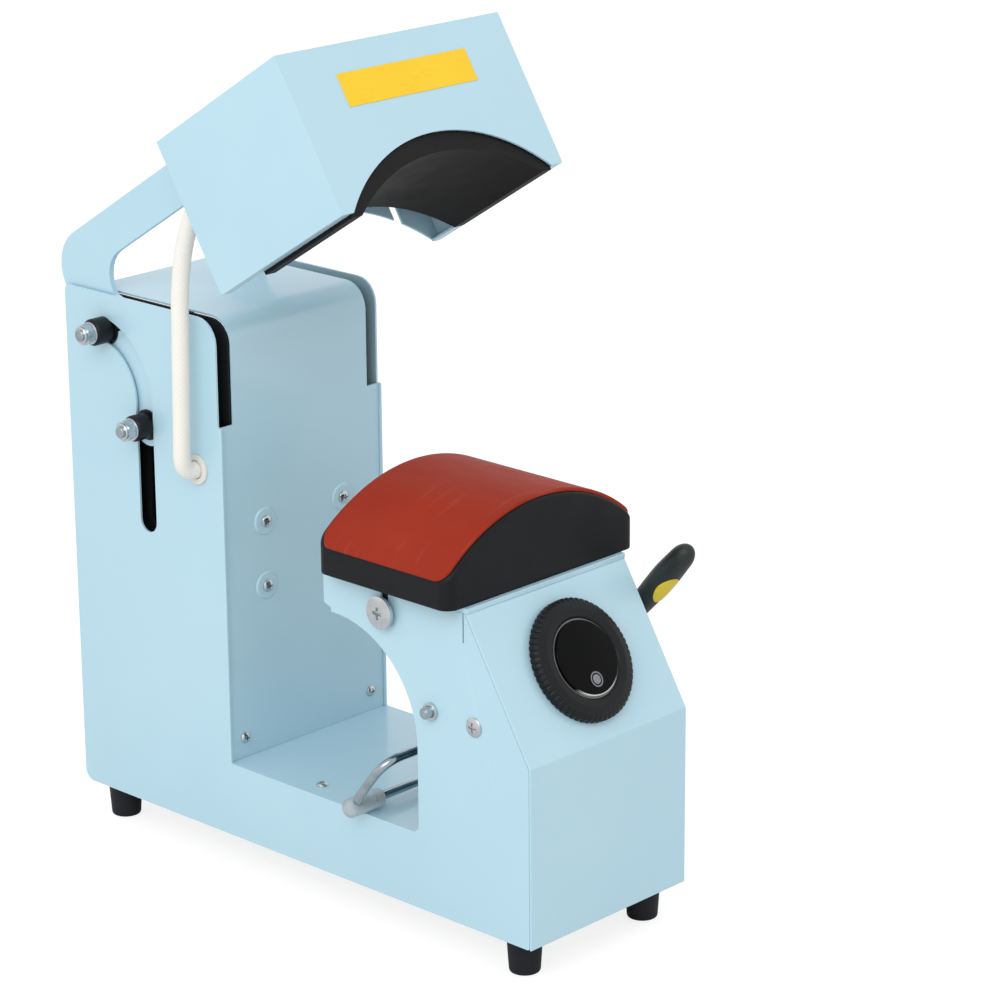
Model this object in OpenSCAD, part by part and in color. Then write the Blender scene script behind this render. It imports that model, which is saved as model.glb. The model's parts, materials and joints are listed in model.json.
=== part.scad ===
// Cap heat press: a sheet-steel pedestal and column, a curved lower platen with a
// silicone pad, and a heated head that an actuator draws down on two swinging arms.
// X runs across the press, Y runs from the dial side to the back, Z is up.
// The origin is on the bench, at the centre of the four feet.

/* [Body] */
// Width across the two side panels
body_w = 150; // [146:1:154]
// Length of the side panels, front to back
body_len = 434; // [430:1:440]
// Height of the column above the body's underside
column_h = 364.7; // [362:0.1:370]
// Thickness of the steel sheet
sheet = 1.5; // [1.2:0.1:1.8]
// Height of the floor between pedestal and column
floor_h = 53; // [50:0.5:56]
// Length of the pedestal at the floor
pedestal_len = 99.5; // [96:0.5:103]
// Height of the upright front, up to the sloped dial face
knee_h = 124; // [120:1:126]
// Height of the pedestal's side panels
deck_h = 215; // [213:1:216]
// How far back the sloped face leans at the deck
deck_setback = 54.3; // [52:0.1:56]
// Length of the deck end of the side panels
deck_rear = 184; // [182:1:188]
// Depth of the column, from its front sheet to the back edge
column_depth = 153.5; // [151:0.5:156]
// Radius of the column sheet's top bend
column_bend_r = 18; // [14:1:20]
// Gap between neighbouring pieces of sheet
seam = 0.1; // [0.05:0.05:0.2]

/* [Feet] */
// Height of a rubber foot
foot_h = 25.5; // [22:0.5:27]
// Diameter of a foot at the top
foot_d = 24; // [22:1:26]
// Diameter of a foot at the bench
foot_base_d = 20.5; // [20:0.5:23]
// Distance between the left and right feet
foot_pitch = 115; // [110:1:118]
// Distance of the front feet from the front face
front_foot_y = 22; // [20:1:26]
// Distance of the rear feet from the back edge
rear_foot_in = 22; // [20:1:32]

/* [Guide linkage] */
// Distance of the upright slot from the back edge
slot_in = 78.5; // [77:0.5:80]
// Height of the slot's bottom end above the underside
slot_bottom = 210.9; // [209:0.1:211.2]
// Width of the slots in the side panels
slot_w = 16.4; // [15.6:0.1:16.8]
// Distance of the arc's centre behind the upright slot
arc_r = 48.2; // [48:0.1:48.4]
// Height of the arc's centre above the underside
arc_z = 292.25; // [292:0.05:292.5]
// Distance between the two guide shafts
shaft_pitch = 71.4; // [71.2:0.1:71.6]
// Lean of the head when the press is open
open_tilt = 32; // [31.8:0.1:32.2]
// Height of the lower shaft when the press is closed
closed_z = 213.5; // [213.3:0.1:214]
// Diameter of the guide shafts
shaft_d = 8; // [7.8:0.1:8]
// Distance from the centre line to the outer face of an arm
arm_out = 72; // [71.8:0.1:72.2]
// Thickness of an arm
arm_t = 4; // [3.6:0.1:4]

/* [Head] */
// Width of the head cover
head_w = 202; // [200:1:204]
// Length of the head cover
head_len = 133.5; // [132:0.5:136]
// Height of the head cover
head_h = 109; // [107:1:111]
// Distance of the closed head's front from the front face
head_setback = 68.1; // [67.5:0.1:69.5]
// Height of the head's lower edge above the lower shaft
head_drop = 39.3; // [39:0.1:40]
// Rise of the arch cut in the front of the cover
front_arch_rise = 39.2; // [39:0.1:40]
// Width of the arch cut in the front of the cover
front_arch_w = 181; // [180:0.5:182]
// Width of the heating platen
heater_w = 182; // [180:1:184]
// Length of the heating platen
heater_len = 95; // [92:1:97]
// Thickness of the heating platen at its crown
heater_t = 13; // [12:0.5:14]

/* [Lower platen] */
// Width of the lower platen
platen_w = 178; // [176:0.5:180]
// Front edge of the lower platen, from the front face
platen_front = 57; // [56:0.1:59]
// Length of the lower platen
platen_len = 119.5; // [118:0.5:121]
// Height of its straight sides above the deck plate
platen_side = 19.5; // [18:0.5:21]
// Rise of its curved top
platen_rise = 36; // [35:0.5:37]
// Radius of its upright corners
platen_corner_r = 9; // [8:1:12]
// Thickness of the silicone pad
pad_t = 2.5; // [2:0.1:3]
// Thickness of the deck plate
deck_t = 3.5; // [3:0.5:4]

/* [Dial] */
// Diameter of the dial ring
dial_d = 83; // [80:1:84]
// How far the ring stands out of the sloped face
dial_h = 9; // [8:0.5:10]
// Diameter of the display glass
glass_d = 51; // [49:0.5:52]
// Number of grip grooves round the ring
dial_grooves = 60; // [48:4:64]

/* [Hat clamp] */
// Distance of the clamp shaft from the front face
clamp_y = 86.5; // [86:0.5:87]
// Height of the clamp shaft above the underside
clamp_z = 141.7; // [141:0.1:142]
// Slope of the wire loop below level at rest
loop_angle = 52; // [51:0.5:52]
// Distance from the shaft to the near bar of the loop
near_bar = 52; // [51:0.5:53]
// Distance from the shaft to the far bar of the loop
far_bar = 103.5; // [102:0.5:103.5]
// Diameter of the wire
wire_d = 6; // [5.5:0.1:6]
// Width of the loop between wire centres
loop_w = 174; // [173:1:176]
// Diameter of the sleeves on the far bar
sleeve_d = 13; // [12:0.5:13]
// Angle of the lever above level at rest
lever_angle = 48.8; // [47:0.1:50]
// Length of the lever from the shaft to its tip
lever_len = 115; // [112:1:118]
// Diameter of the lever's grip
grip_d = 18.4; // [17:0.1:19]

/* [Cable] */
// Diameter of the heater cable's sleeve
cable_d = 12; // [11:0.5:12]

/* [Hidden] */

$fn = 64;
half_w = body_w / 2;
inner_half = half_w - sheet;
column_front = body_len - column_depth;
rear_foot_y = body_len - rear_foot_in;
slot_y = body_len - slot_in;
head_reach = slot_y - head_setback;
body_front = -(front_foot_y + rear_foot_y) / 2;
arch_r = 75;
arch_top = deck_h - 27.5;
slope = atan2(deck_h - knee_h, deck_setback);

// Guide linkage at rest: both shafts sit in the slots of the side panels.
arc_y = slot_y + arc_r;
upper_y = slot_y + shaft_pitch * sin(open_tilt);
arc_open = acos((arc_y - upper_y) / arc_r);
upper_z = arc_z + arc_r * sin(arc_open);
lower_z = upper_z - shaft_pitch * cos(open_tilt);
arc_closed = asin((closed_z + shaft_pitch - arc_z) / arc_r);
arc_over = 10;
tube_top = closed_z - 13.5;
shaft_out = 98.5;

// Head frame: the origin is the lower shaft and the head's lower edge is level.
head_front = -head_reach;
head_back = head_front + head_len;
head_top = head_drop + head_h;
front_arch_r = (pow(front_arch_w / 2, 2) + pow(front_arch_rise, 2))
    / (2 * front_arch_rise);
rear_arch_r = 136;
rear_arch_z = -58.3;
heater_front = head_front + sheet + 1;
heater_arch_top = 65.5;
heater_bottom = 37;
beam_bottom = 112;
beam_top = 141.3;
wall_slot = [67, 73];

// Lower platen: its curved top is an arc over the straight sides.
platen_z = deck_h + deck_t;
platen_side_z = platen_z + platen_side;
platen_r = (pow(platen_w / 2, 2) + pow(platen_rise, 2)) / (2 * platen_rise);
platen_arc_z = platen_side_z + platen_rise - platen_r;
pad_r = platen_r + pad_t + seam;
press_gap = closed_z + heater_arch_top - (platen_arc_z + pad_r);
heater_r = pad_r + press_gap;

stud_x = 45;
stud_y = [heater_front + 20, heater_front + heater_len - 20];
clamp_screw = [platen_front + 70.5, deck_h - 15];
bracket_y = [clamp_screw[0] - 25.5, clamp_screw[0] + 25.5];
flange_out = inner_half - 0.3;
flange_t = 3;
bracket_z = deck_h - 25;
dial_up = 53.2;
lever_x = half_w + 15.5;
floor_screw = [60.2, column_front - 75.3];
side_screw = [48.5, knee_h + 16.5];
low_screw = [60.5, floor_h + 14.7];
arm_slot_z = 291.5;
column_top = column_h - 0.5;
column_screw_x = 36.5;
column_screw_z = [172, 218];

// Heater cable: from the grommet in the left panel up to the head's rear wall.
// Its points are measured back from the column's front sheet.
cable_exit = [column_front + 23.5, 258.5];
lower_route = [
    [-72, 23.5, 258.5], [-77, 23.5, 258.5], [-82, 23.5, 259],
    [-86, 23.5, 262], [-88.5, 23, 268], [-89, 22.5, 277],
    [-89, 22, 290], [-89, 21.5, 306], [-89, 21, 324],
    [-88.5, 21, 342], [-88, 21, 360]
];
upper_route = [
    [-87.999, 21, 360.04], [-87.5, 21, 378], [-86.5, 20, 396],
    [-85.5, 17.5, 413], [-85, 13.5, 426], [-84.5, 9, 437],
    [-84, 4.2, 445.4], [-84, -0.4, 448.5], [-84, -6.3, 452.2]
];
head_exit = [-(head_w / 2 - 17), head_drop + 64.7];

function unit(v) = v / norm(v);

// Points of one corner of an outline, rounded by radius r in n steps.
function corner(a, b, c, r, n) =
    let(
        u = unit(a - b),
        v = unit(c - b),
        half = acos(u * v) / 2,
        along = r / tan(half),
        centre = b + unit(u + v) * r / sin(half),
        p = b + u * along - centre,
        q = b + v * along - centre,
        start = atan2(p[1], p[0]),
        turn = (atan2(q[1], q[0]) - start + 900) % 360 - 180
    )
    [for (i = [0 : n]) centre + r * [
        cos(start + turn * i / n), sin(start + turn * i / n)]];

// Outline through [x, y, radius] corners, each rounded by its own radius.
function rounded(p) =
    [for (i = [0 : len(p) - 1])
        let(
            n = len(p),
            a = p[(i + n - 1) % n],
            b = p[i],
            c = p[(i + 1) % n]
        )
        each b[2] > 0
            ? corner([a[0], a[1]], [b[0], b[1]], [c[0], c[1]], b[2],
                b[2] > 30 ? 18 : 6)
            : [[b[0], b[1]]]];

// Places its children in body coordinates: Y from the front, Z from the underside.
module in_body() {
    translate([0, body_front, foot_h])
        children();
}

// Places its children in the head's own level frame, leant back as at rest.
module at_head() {
    in_body()
        translate([0, slot_y, lower_z])
            rotate([-open_tilt, 0, 0])
                children();
}

// Places its children on the sloped face: Y climbs the slope and Z stands out of it.
module at_slope(up = 0) {
    in_body()
        translate([0, 0, knee_h])
            rotate([slope, 0, 0])
                translate([0, up, 0])
                    children();
}

// Extrudes a side-view outline along X, from x to x + t.
module side_view(x, t) {
    translate([x, 0, 0])
        rotate([90, 0, 90])
            linear_extrude(t)
                children();
}

// Extrudes a front-view outline along Y, from y to y + t.
module front_view(y, t) {
    translate([0, y + t, 0])
        rotate([90, 0, 0])
            linear_extrude(t)
                children();
}

// A round bar along X, from x to x + len.
module bar_x(x, y, z, d, len) {
    translate([x, y, z])
        rotate([0, 90, 0])
            cylinder(h = len, d = d);
}

// A round bar along Y, from y to y + len.
module bar_y(x, y, z, d, len) {
    translate([x, y, z])
        rotate([-90, 0, 0])
            cylinder(h = len, d = d);
}

module both_sides() {
    children();
    mirror([1, 0, 0])
        children();
}

// A tube with n sides swept along the points of a route.
module swept_tube(route, r, n = 10) {
    last = len(route) - 1;
    rings = [for (i = [0 : last])
        let(
            ahead = unit(route[min(i + 1, last)] - route[max(i - 1, 0)]),
            side = unit(cross(ahead, [0.35, 1, 0])),
            other = cross(ahead, side)
        )
        [for (k = [0 : n - 1])
            route[i] + r * (cos(360 * k / n) * side + sin(360 * k / n) * other)]];
    polyhedron(
        points = [for (ring = rings) each ring],
        faces = concat(
            [[for (k = [0 : n - 1]) k]],
            [[for (k = [n - 1 : -1 : 0]) last * n + k]],
            [for (i = [0 : last - 1], k = [0 : n - 1]) [
                i * n + k, (i + 1) * n + k, (i + 1) * n + (k + 1) % n,
                i * n + (k + 1) % n]]
        ),
        convexity = 4
    );
}

// Side view of the path of the guide rollers: an upright slot that runs into an arc.
module guide_slot(w) {
    translate([slot_y - w / 2, slot_bottom])
        square([w, arc_z - slot_bottom]);
    translate([slot_y, slot_bottom])
        circle(d = w);
    translate([upper_y, upper_z])
        circle(d = w);
    translate([arc_y - arc_r * cos(arc_closed), arc_z + arc_r * sin(arc_closed)])
        circle(d = w);
    translate([arc_y, arc_z])
        intersection() {
            difference() {
                circle(r = arc_r + w / 2, $fn = 128);
                circle(r = arc_r - w / 2, $fn = 128);
            }
            polygon([[0, 0],
                for (i = [0 : 4])
                    let(a = 180 + arc_over - (arc_open + arc_over) * i / 4)
                    2 * arc_r * [cos(a), sin(a)]]);
        }
}

// Side panels.
module side_outline() {
    g = sheet + seam;
    polygon(rounded([
        [g, 0, 2],
        [body_len, 0, 8],
        [body_len, column_h, 5],
        [column_front + 2, column_h, 17],
        [column_front + 2, arm_slot_z, 1],
        [column_front - sheet, arm_slot_z, 1],
        [column_front - sheet, floor_h, 1],
        [pedestal_len, floor_h, 6],
        [pedestal_len, arch_top, arch_r],
        [deck_rear - 6.5, arch_top, 0.8],
        [deck_rear - 6.5, arch_top + 3, 0.8],
        [deck_rear, arch_top + 5, 3],
        [deck_rear, deck_h, 0],
        [deck_setback + g / sin(slope), deck_h, 0],
        [g, knee_h - g * tan((90 - slope) / 2), 0]
    ]));
}

module side_holes() {
    guide_slot(slot_w);
    translate([clamp_y, clamp_z])
        circle(d = 10.2);
    translate(side_screw)
        circle(d = 5.2);
    translate(clamp_screw)
        circle(d = 6.4);
    translate([clamp_screw[0] - 3.2, clamp_screw[1]])
        square([6.4, 20]);
    translate([deck_setback + 2.6, deck_h - 20])
        square([1.2, 30]);
}

module left_side_panel() {
    color("lightblue")
        in_body()
            side_view(-half_w, sheet)
                difference() {
                    side_outline();
                    side_holes();
                    translate(cable_exit)
                        circle(d = 17.2);
                }
}

module right_side_panel() {
    color("lightblue")
        in_body()
            side_view(inner_half, sheet)
                difference() {
                    side_outline();
                    side_holes();
                }
}

// Column: one sheet that rises from the floor and bends over to the back.
module column_profile() {
    top = column_top;
    outer = column_bend_r;
    translate([column_front, floor_h + seam])
        square([sheet, top - outer - floor_h - seam]);
    translate([column_front + outer, top - sheet])
        square([column_depth - 17.5 - outer, sheet]);
    translate([column_front + outer, top - outer])
        intersection() {
            difference() {
                circle(r = outer);
                circle(r = outer - sheet);
            }
            translate([-outer, 0])
                square(outer);
        }
}

module column_sheet() {
    slot_x = half_w - 12.5;
    color("lightblue")
        in_body()
            difference() {
                side_view(-inner_half + seam, body_w - 2 * sheet - 2 * seam)
                    column_profile();
                both_sides()
                    translate([slot_x, column_front - 1, arm_slot_z])
                        cube([20, 200, 100]);
                for (x = [-column_screw_x, column_screw_x], z = column_screw_z)
                    bar_y(x, column_front - 1, z, 5.2, 4);
                for (x = [-low_screw[0], low_screw[0]])
                    bar_y(x, column_front - 1, low_screw[1], 4.2, 4);
            }
}

module floor_plate() {
    color("lightblue")
        in_body()
            difference() {
                translate([-inner_half + seam, pedestal_len, floor_h - sheet])
                    cube([body_w - 2 * sheet - 2 * seam,
                        column_front + sheet - pedestal_len, sheet]);
                both_sides()
                    translate([floor_screw[0], floor_screw[1], floor_h - 4])
                        cylinder(h = 8, d = 4.2);
            }
}

// Pedestal: an upright front that bends back into the sloped dial face.
module pedestal_front() {
    in_y = sheet;
    color("lightblue")
        difference() {
            in_body()
                side_view(-half_w, body_w)
                    polygon([
                        [0, 0],
                        [0, knee_h],
                        [deck_setback, deck_h],
                        [deck_setback + in_y / sin(slope), deck_h],
                        [in_y, knee_h - in_y * tan((90 - slope) / 2)],
                        [in_y, 0]
                    ]);
            at_slope(dial_up)
                translate([0, 0, -5])
                    cylinder(h = 10, d = glass_d + 4);
        }
}

module pedestal_deck() {
    color("lightblue")
        in_body()
            difference() {
                translate([-half_w, deck_setback - 0.5, deck_h])
                    cube([body_w, deck_rear - deck_setback, deck_t]);
                both_sides()
                    translate([flange_out - flange_t - 0.3, bracket_y[0] - 0.3,
                        deck_h - 1])
                        cube([flange_t + 0.5, bracket_y[1] - bracket_y[0] + 0.6,
                            deck_t + 2]);
            }
}

module bottom_plate() {
    color("gainsboro")
        in_body()
            difference() {
                translate([-inner_half + seam, sheet + seam, 0])
                    cube([body_w - 2 * sheet - 2 * seam,
                        body_len - 2 * sheet - 4 * seam, sheet]);
                for (x = [-foot_pitch / 2, foot_pitch / 2],
                        y = [front_foot_y, rear_foot_y])
                    translate([x, y, -1])
                        cylinder(h = 4, d = 5);
            }
}

module back_cover() {
    inlet_x = -38;
    switch_x = 0;
    color("lightblue")
        in_body()
            difference() {
                translate([-inner_half + seam, body_len - sheet, sheet + seam])
                    cube([body_w - 2 * sheet - 2 * seam, sheet, column_h - 67.7]);
                translate([inlet_x - 13.8, body_len - 3, 42 - 9.8])
                    cube([27.6, 6, 19.6]);
                translate([switch_x - 8.8, body_len - 3, 42 - 11.8])
                    cube([17.6, 6, 23.6]);
                for (i = [0 : 9])
                    translate([-40, body_len - 3, 150 + i * 11])
                        cube([80, 6, 4.5]);
            }
}

module rubber_feet() {
    color("dimgray")
        for (x = [-foot_pitch / 2, foot_pitch / 2],
                y = [front_foot_y, rear_foot_y])
            in_body()
                translate([x, y, -foot_h])
                    difference() {
                        cylinder(h = foot_h, d1 = foot_base_d, d2 = foot_d);
                        translate([0, 0, -1])
                            cylinder(h = foot_h + 2, d = 5);
                        translate([0, 0, -1])
                            cylinder(h = 11, d = 10);
                    }
}

module foot_screws() {
    color("silver")
        for (x = [-foot_pitch / 2, foot_pitch / 2],
                y = [front_foot_y, rear_foot_y])
            in_body()
                translate([x, y, -foot_h + 6.8]) {
                    cylinder(h = 3.2, d = 9);
                    translate([0, 0, 3])
                        cylinder(h = 18, d = 4.8);
                    translate([0, 0, foot_h - 6.8 + sheet])
                        cylinder(h = 3.2, d = 8, $fn = 6);
                }
}

// Column inside: black plates beside the arms, and slick liners on the side panels.
module inner_guide_plates() {
    y0 = column_front + sheet + 0.5;
    y1 = y0 + column_depth - 17;
    bottom = low_screw[1] + 12;
    top = column_top - sheet - 0.5;
    color("black")
        in_body()
            both_sides()
                side_view(62, 2)
                    difference() {
                        polygon(rounded([
                            [y0, bottom, 0],
                            [y1, bottom, 0],
                            [y1, top, 0],
                            [y0, top, column_bend_r - 2]
                        ]));
                        guide_slot(slot_w + 1);
                    }
}

module glide_liners() {
    color("black")
        in_body()
            both_sides()
                side_view(arm_out + 0.3, inner_half - arm_out - 0.3)
                    difference() {
                        polygon(rounded([
                            [column_front + 28, slot_bottom - 16, 2],
                            [body_len - 4, slot_bottom - 16, 2],
                            [body_len - 4, column_h - 8, 2],
                            [column_front + 28, column_h - 8, 12]
                        ]));
                        guide_slot(slot_w + 6.4);
                        translate(cable_exit)
                            circle(d = 23);
                    }
}

module actuator_bracket() {
    color("dimgray")
        in_body() {
            difference() {
                union() {
                    translate([-50, column_front + sheet + seam, 160])
                        cube([100, 3, 70]);
                    both_sides()
                        translate([20, column_front + sheet + seam, 165])
                            cube([3, slot_y + 2 - column_front, closed_z - 173.5]);
                }
                for (x = [-column_screw_x, column_screw_x], z = column_screw_z)
                    bar_y(x, column_front, z, 4.2, 10);
            }
            difference() {
                translate([-20.5, slot_y - 21.5, 165])
                    cube([41, 43, 12]);
                translate([0, slot_y, 160])
                    cylinder(h = 30, d = 28.2);
            }
        }
}

module actuator_tube() {
    color("silver")
        in_body()
            difference() {
                translate([0, slot_y, 48])
                    cylinder(h = tube_top - 48, d = 28);
                translate([0, slot_y, 84])
                    cylinder(h = 150, d = 14.2);
            }
}

module actuator_motor() {
    color("black")
        in_body() {
            translate([-24, slot_y - 31.5, 20])
                cube([48, 76, 28]);
            translate([0, slot_y + 32, 48])
                cylinder(h = 78, d = 34);
            difference() {
                translate([-12, slot_y - 12, sheet])
                    cube([24, 24, 20 - sheet]);
                bar_x(-13, slot_y, 11, 8.2, 26);
            }
        }
}

// Lower platen: a hollow casting with a curved top, on a bracket clamped to the panels.
module plan_outline(w, len, r) {
    polygon(rounded([
        [-w / 2, 0, r], [w / 2, 0, r], [w / 2, len, r], [-w / 2, len, r]
    ]));
}

module arch_outline(w, side, r, centre_z) {
    intersection() {
        translate([0, centre_z])
            circle(r = r, $fn = 180);
        translate([-w / 2, side])
            square([w, r]);
    }
}

module lower_platen() {
    wall = 6;
    color("black")
        in_body() {
            difference() {
                intersection() {
                    translate([0, platen_front, platen_z])
                        linear_extrude(platen_side + platen_rise)
                            plan_outline(platen_w, platen_len, platen_corner_r);
                    front_view(platen_front - 1, platen_len + 2)
                        arch_outline(platen_w, platen_z, platen_r, platen_arc_z);
                }
                intersection() {
                    translate([0, platen_front + wall, platen_z - 1])
                        linear_extrude(platen_side + platen_rise)
                            plan_outline(platen_w - 2 * wall,
                                platen_len - 2 * wall, platen_corner_r - wall);
                    front_view(platen_front, platen_len)
                        arch_outline(platen_w, platen_z - 2, platen_r - wall,
                            platen_arc_z);
                }
            }
            for (x = [-40, 40])
                difference() {
                    translate([x, clamp_screw[0], platen_z + 3 + seam])
                        cylinder(h = 42.5, d = 16);
                    translate([x, clamp_screw[0], platen_z])
                        cylinder(h = 25, d = 6);
                }
        }
}

module silicone_pad() {
    front_margin = 2.6;
    rear_margin = 4;
    pad_len = platen_len - front_margin - rear_margin;
    color("firebrick")
        in_body()
            intersection() {
                translate([0, platen_front + front_margin, platen_side_z - 20])
                    linear_extrude(100)
                        plan_outline(platen_w + 1.6, pad_len, platen_corner_r);
                front_view(platen_front, platen_len)
                    difference() {
                        translate([0, platen_arc_z])
                            circle(r = pad_r, $fn = 180);
                        translate([0, platen_arc_z])
                            circle(r = platen_r + seam, $fn = 180);
                        translate([-200, -200])
                            square([400, 200 + platen_side_z + 0.3]);
                    }
            }
}

module platen_bracket() {
    y0 = bracket_y[0];
    len = bracket_y[1] - bracket_y[0];
    color("black")
        in_body()
            difference() {
                union() {
                    translate([-flange_out, y0, platen_z])
                        cube([2 * flange_out, len, 3]);
                    both_sides()
                        translate([flange_out - flange_t, y0, bracket_z])
                            cube([flange_t, len, platen_z + 3 - bracket_z]);
                }
                both_sides()
                    bar_x(60, clamp_screw[0], clamp_screw[1], 6.1, 20);
                for (x = [-40, 40])
                    translate([x, clamp_screw[0], platen_z - 1])
                        cylinder(h = 6, d = 6);
            }
}

module platen_clamp_screws() {
    color("silver")
        in_body()
            both_sides()
                difference() {
                    union() {
                        bar_x(half_w + 0.1, clamp_screw[0], clamp_screw[1], 14, 3.5);
                        bar_x(half_w + 3.5, clamp_screw[0], clamp_screw[1], 22, 2.8);
                        translate([half_w + 6.3, clamp_screw[0], clamp_screw[1]])
                            rotate([0, 90, 0])
                                cylinder(h = 1.2, d1 = 22, d2 = 19.6);
                        bar_x(flange_out - flange_t - 4, clamp_screw[0],
                            clamp_screw[1], 6, 12);
                    }
                    translate([half_w + 5.8, clamp_screw[0], clamp_screw[1]]) {
                        translate([0, -0.9, -4.2])
                            cube([4, 1.8, 8.4]);
                        translate([0, -4.2, -0.9])
                            cube([4, 8.4, 1.8]);
                    }
                }
}

// Dial: a ring that turns round a fixed hub, with the display glass in the middle.
module dial_hub() {
    color("black")
        at_slope(dial_up)
            difference() {
                translate([0, 0, -24])
                    cylinder(h = 31.5, d = glass_d + 3, $fn = 96);
                translate([0, 0, -25])
                    cylinder(h = 29.5, d = glass_d - 3);
                translate([0, 0, 5.9])
                    cylinder(h = 4, d = glass_d + 0.2, $fn = 96);
            }
}

module display_glass() {
    color("black")
        at_slope(dial_up)
            translate([0, 0, 5.9]) {
                cylinder(h = 2.6, d = glass_d, $fn = 96);
                translate([0, 0, 2.6])
                    cylinder(h = 0.7, d1 = glass_d, d2 = glass_d - 1.4, $fn = 96);
            }
}

module power_key() {
    color("gray")
        at_slope(dial_up)
            translate([0, -15, 9.2])
                cylinder(h = 0.4, d = 11.6);
}

module dial_ring() {
    inner = glass_d / 2 + 1.6;
    outer = dial_d / 2;
    color("dimgray")
        at_slope(dial_up)
            difference() {
                rotate_extrude($fn = 120)
                    polygon([
                        [inner, 0.6],
                        [outer, 0.6],
                        [outer, dial_h - 3.6],
                        [outer - 2.4, dial_h - 1.2],
                        [inner + 6, dial_h],
                        [inner + 1, dial_h - 0.6],
                        [inner, dial_h - 1.4]
                    ]);
                for (i = [0 : dial_grooves - 1])
                    rotate(i * 360 / dial_grooves)
                        translate([outer + 0.35, 0, 0])
                            cylinder(h = dial_h + 1, r = 0.9, $fn = 24);
            }
}

module control_board() {
    color("green")
        at_slope(dial_up) {
            translate([-38, -26, -26])
                cube([76, 52, 1.6]);
            translate([-30, -20, -30])
                cube([22, 14, 4]);
            translate([6, -18, -34])
                cube([18, 30, 8]);
            for (x = [-34, 34], y = [-22, 22])
                translate([x, y, -24.4])
                    cylinder(h = 24.4 - sheet - seam, d = 5);
        }
}

module power_board() {
    color("green")
        in_body() {
            translate([-55, 14, 12])
                cube([110, 62, 1.6]);
            translate([-48, 22, 13.6])
                cube([34, 44, 30]);
            translate([0, 24, 13.6])
                cube([22, 18, 24]);
            for (x = [32, 44])
                translate([x, 50, 13.6])
                    cylinder(h = 26, d = 10);
            for (x = [-50, 50], y = [19, 71])
                translate([x, y, sheet])
                    cylinder(h = 12 - sheet, d = 6);
        }
}

module power_inlet() {
    x0 = -38;
    z0 = 42;
    color("black")
        in_body() {
            difference() {
                union() {
                    translate([x0 - 13.6, body_len - 24, z0 - 9.6])
                        cube([27.2, 24 + 0.1, 19.2]);
                    translate([x0 - 16, body_len, z0 - 12])
                        cube([32, 2.4, 24]);
                }
                translate([x0 - 11, body_len - 14, z0 - 7.5])
                    cube([22, 20, 15]);
            }
            for (d = [[-7, -1.5], [7, -1.5], [0, 2.5]])
                translate([x0 + d[0] - 1, body_len - 15, z0 + d[1] - 2])
                    cube([2, 9, 4]);
        }
}

module switch_frame() {
    z0 = 42;
    color("black")
        in_body()
            difference() {
                union() {
                    translate([-8.6, body_len - 20, z0 - 11.6])
                        cube([17.2, 20 + 0.1, 23.2]);
                    translate([-10.5, body_len, z0 - 13.5])
                        cube([21, 1.8, 27]);
                }
                bar_x(-5.4, body_len - 2, z0, 20.4, 10.8);
                bar_x(-7.3, body_len - 2, z0, 2.3, 14.6);
            }
}

module rocker_switch() {
    z0 = 42;
    color("black")
        in_body()
            translate([0, body_len - 2, z0])
                rotate([9, 0, 0]) {
                    difference() {
                        bar_x(-5, 0, 0, 20, 10);
                        rotate([9, 0, 0])
                            translate([-10, 4.5, 0])
                                cube([20, 20, 20]);
                        rotate([-9, 0, 0])
                            translate([-10, 4.5, -20])
                                cube([20, 20, 20]);
                    }
                    bar_x(-7, 0, 0, 2, 14);
                }
}

// Hat clamp: a lever turns the shaft, and the wire loop behind the pedestal swings up.
module at_clamp(angle) {
    in_body()
        translate([0, clamp_y, clamp_z])
            rotate([angle, 0, 0])
                children();
}

module clamp_bushings() {
    color("silver")
        in_body()
            both_sides()
                difference() {
                    union() {
                        bar_x(inner_half - 2.5, clamp_y, clamp_z, 10, 4);
                        bar_x(half_w, clamp_y, clamp_z, 12, 2.6);
                        bar_x(inner_half - 2.5, clamp_y, clamp_z, 13, 2.4);
                    }
                    bar_x(inner_half - 4, clamp_y, clamp_z, 8.1, 20);
                }
}

module clamp_shaft() {
    color("silver")
        at_clamp(0) {
            bar_x(-half_w - 7, 0, 0, 8, body_w + 7 + 25);
            bar_x(-half_w - 8, 0, 0, 6, 1);
        }
}

module clamp_arms() {
    color("silver")
        at_clamp(-loop_angle)
            both_sides()
                difference() {
                    union() {
                        translate([41, -1, -6])
                            cube([3, near_bar, 12]);
                        bar_x(39, 0, 0, 16, 7);
                        bar_x(41, near_bar, 0, 12, 3);
                    }
                    bar_x(30, 0, 0, 8.02, 20);
                    bar_x(30, near_bar, 0, wire_d + 0.04, 20);
                }
}

// Quarter bend of the wire in the loop's plane, about its own centre.
module wire_bend(r) {
    rotate_extrude(angle = 90, $fn = 96)
        translate([r, 0])
            circle(d = wire_d, $fn = 32);
}

module half_loop(d) {
    w = loop_w / 2;
    bend = 14;
    bar_x(0, near_bar, 0, d, w - bend);
    bar_x(0, far_bar, 0, d, w - bend);
    bar_y(w, near_bar + bend, 0, d, far_bar - near_bar - 2 * bend);
    translate([w - bend, far_bar - bend, 0])
        wire_bend(bend);
    translate([w - bend, near_bar + bend, 0])
        rotate(-90)
            wire_bend(bend);
}

module clamp_wire() {
    color("silver")
        at_clamp(-loop_angle)
            both_sides()
                half_loop(wire_d);
}

module clamp_sleeves() {
    w = loop_w / 2;
    color("white")
        at_clamp(-loop_angle)
            both_sides()
                difference() {
                    bar_x(w - 27, far_bar, 0, sleeve_d, 31.5);
                    bar_x(w - 40, far_bar, 0, wire_d + 0.04, 26.2);
                    translate([w - 14, far_bar - 20, -wire_d / 2 - 0.05])
                        cube([14 + wire_d / 2 + 0.1, 20 + wire_d / 2 + 0.1,
                            wire_d + 0.1]);
                }
}

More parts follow.
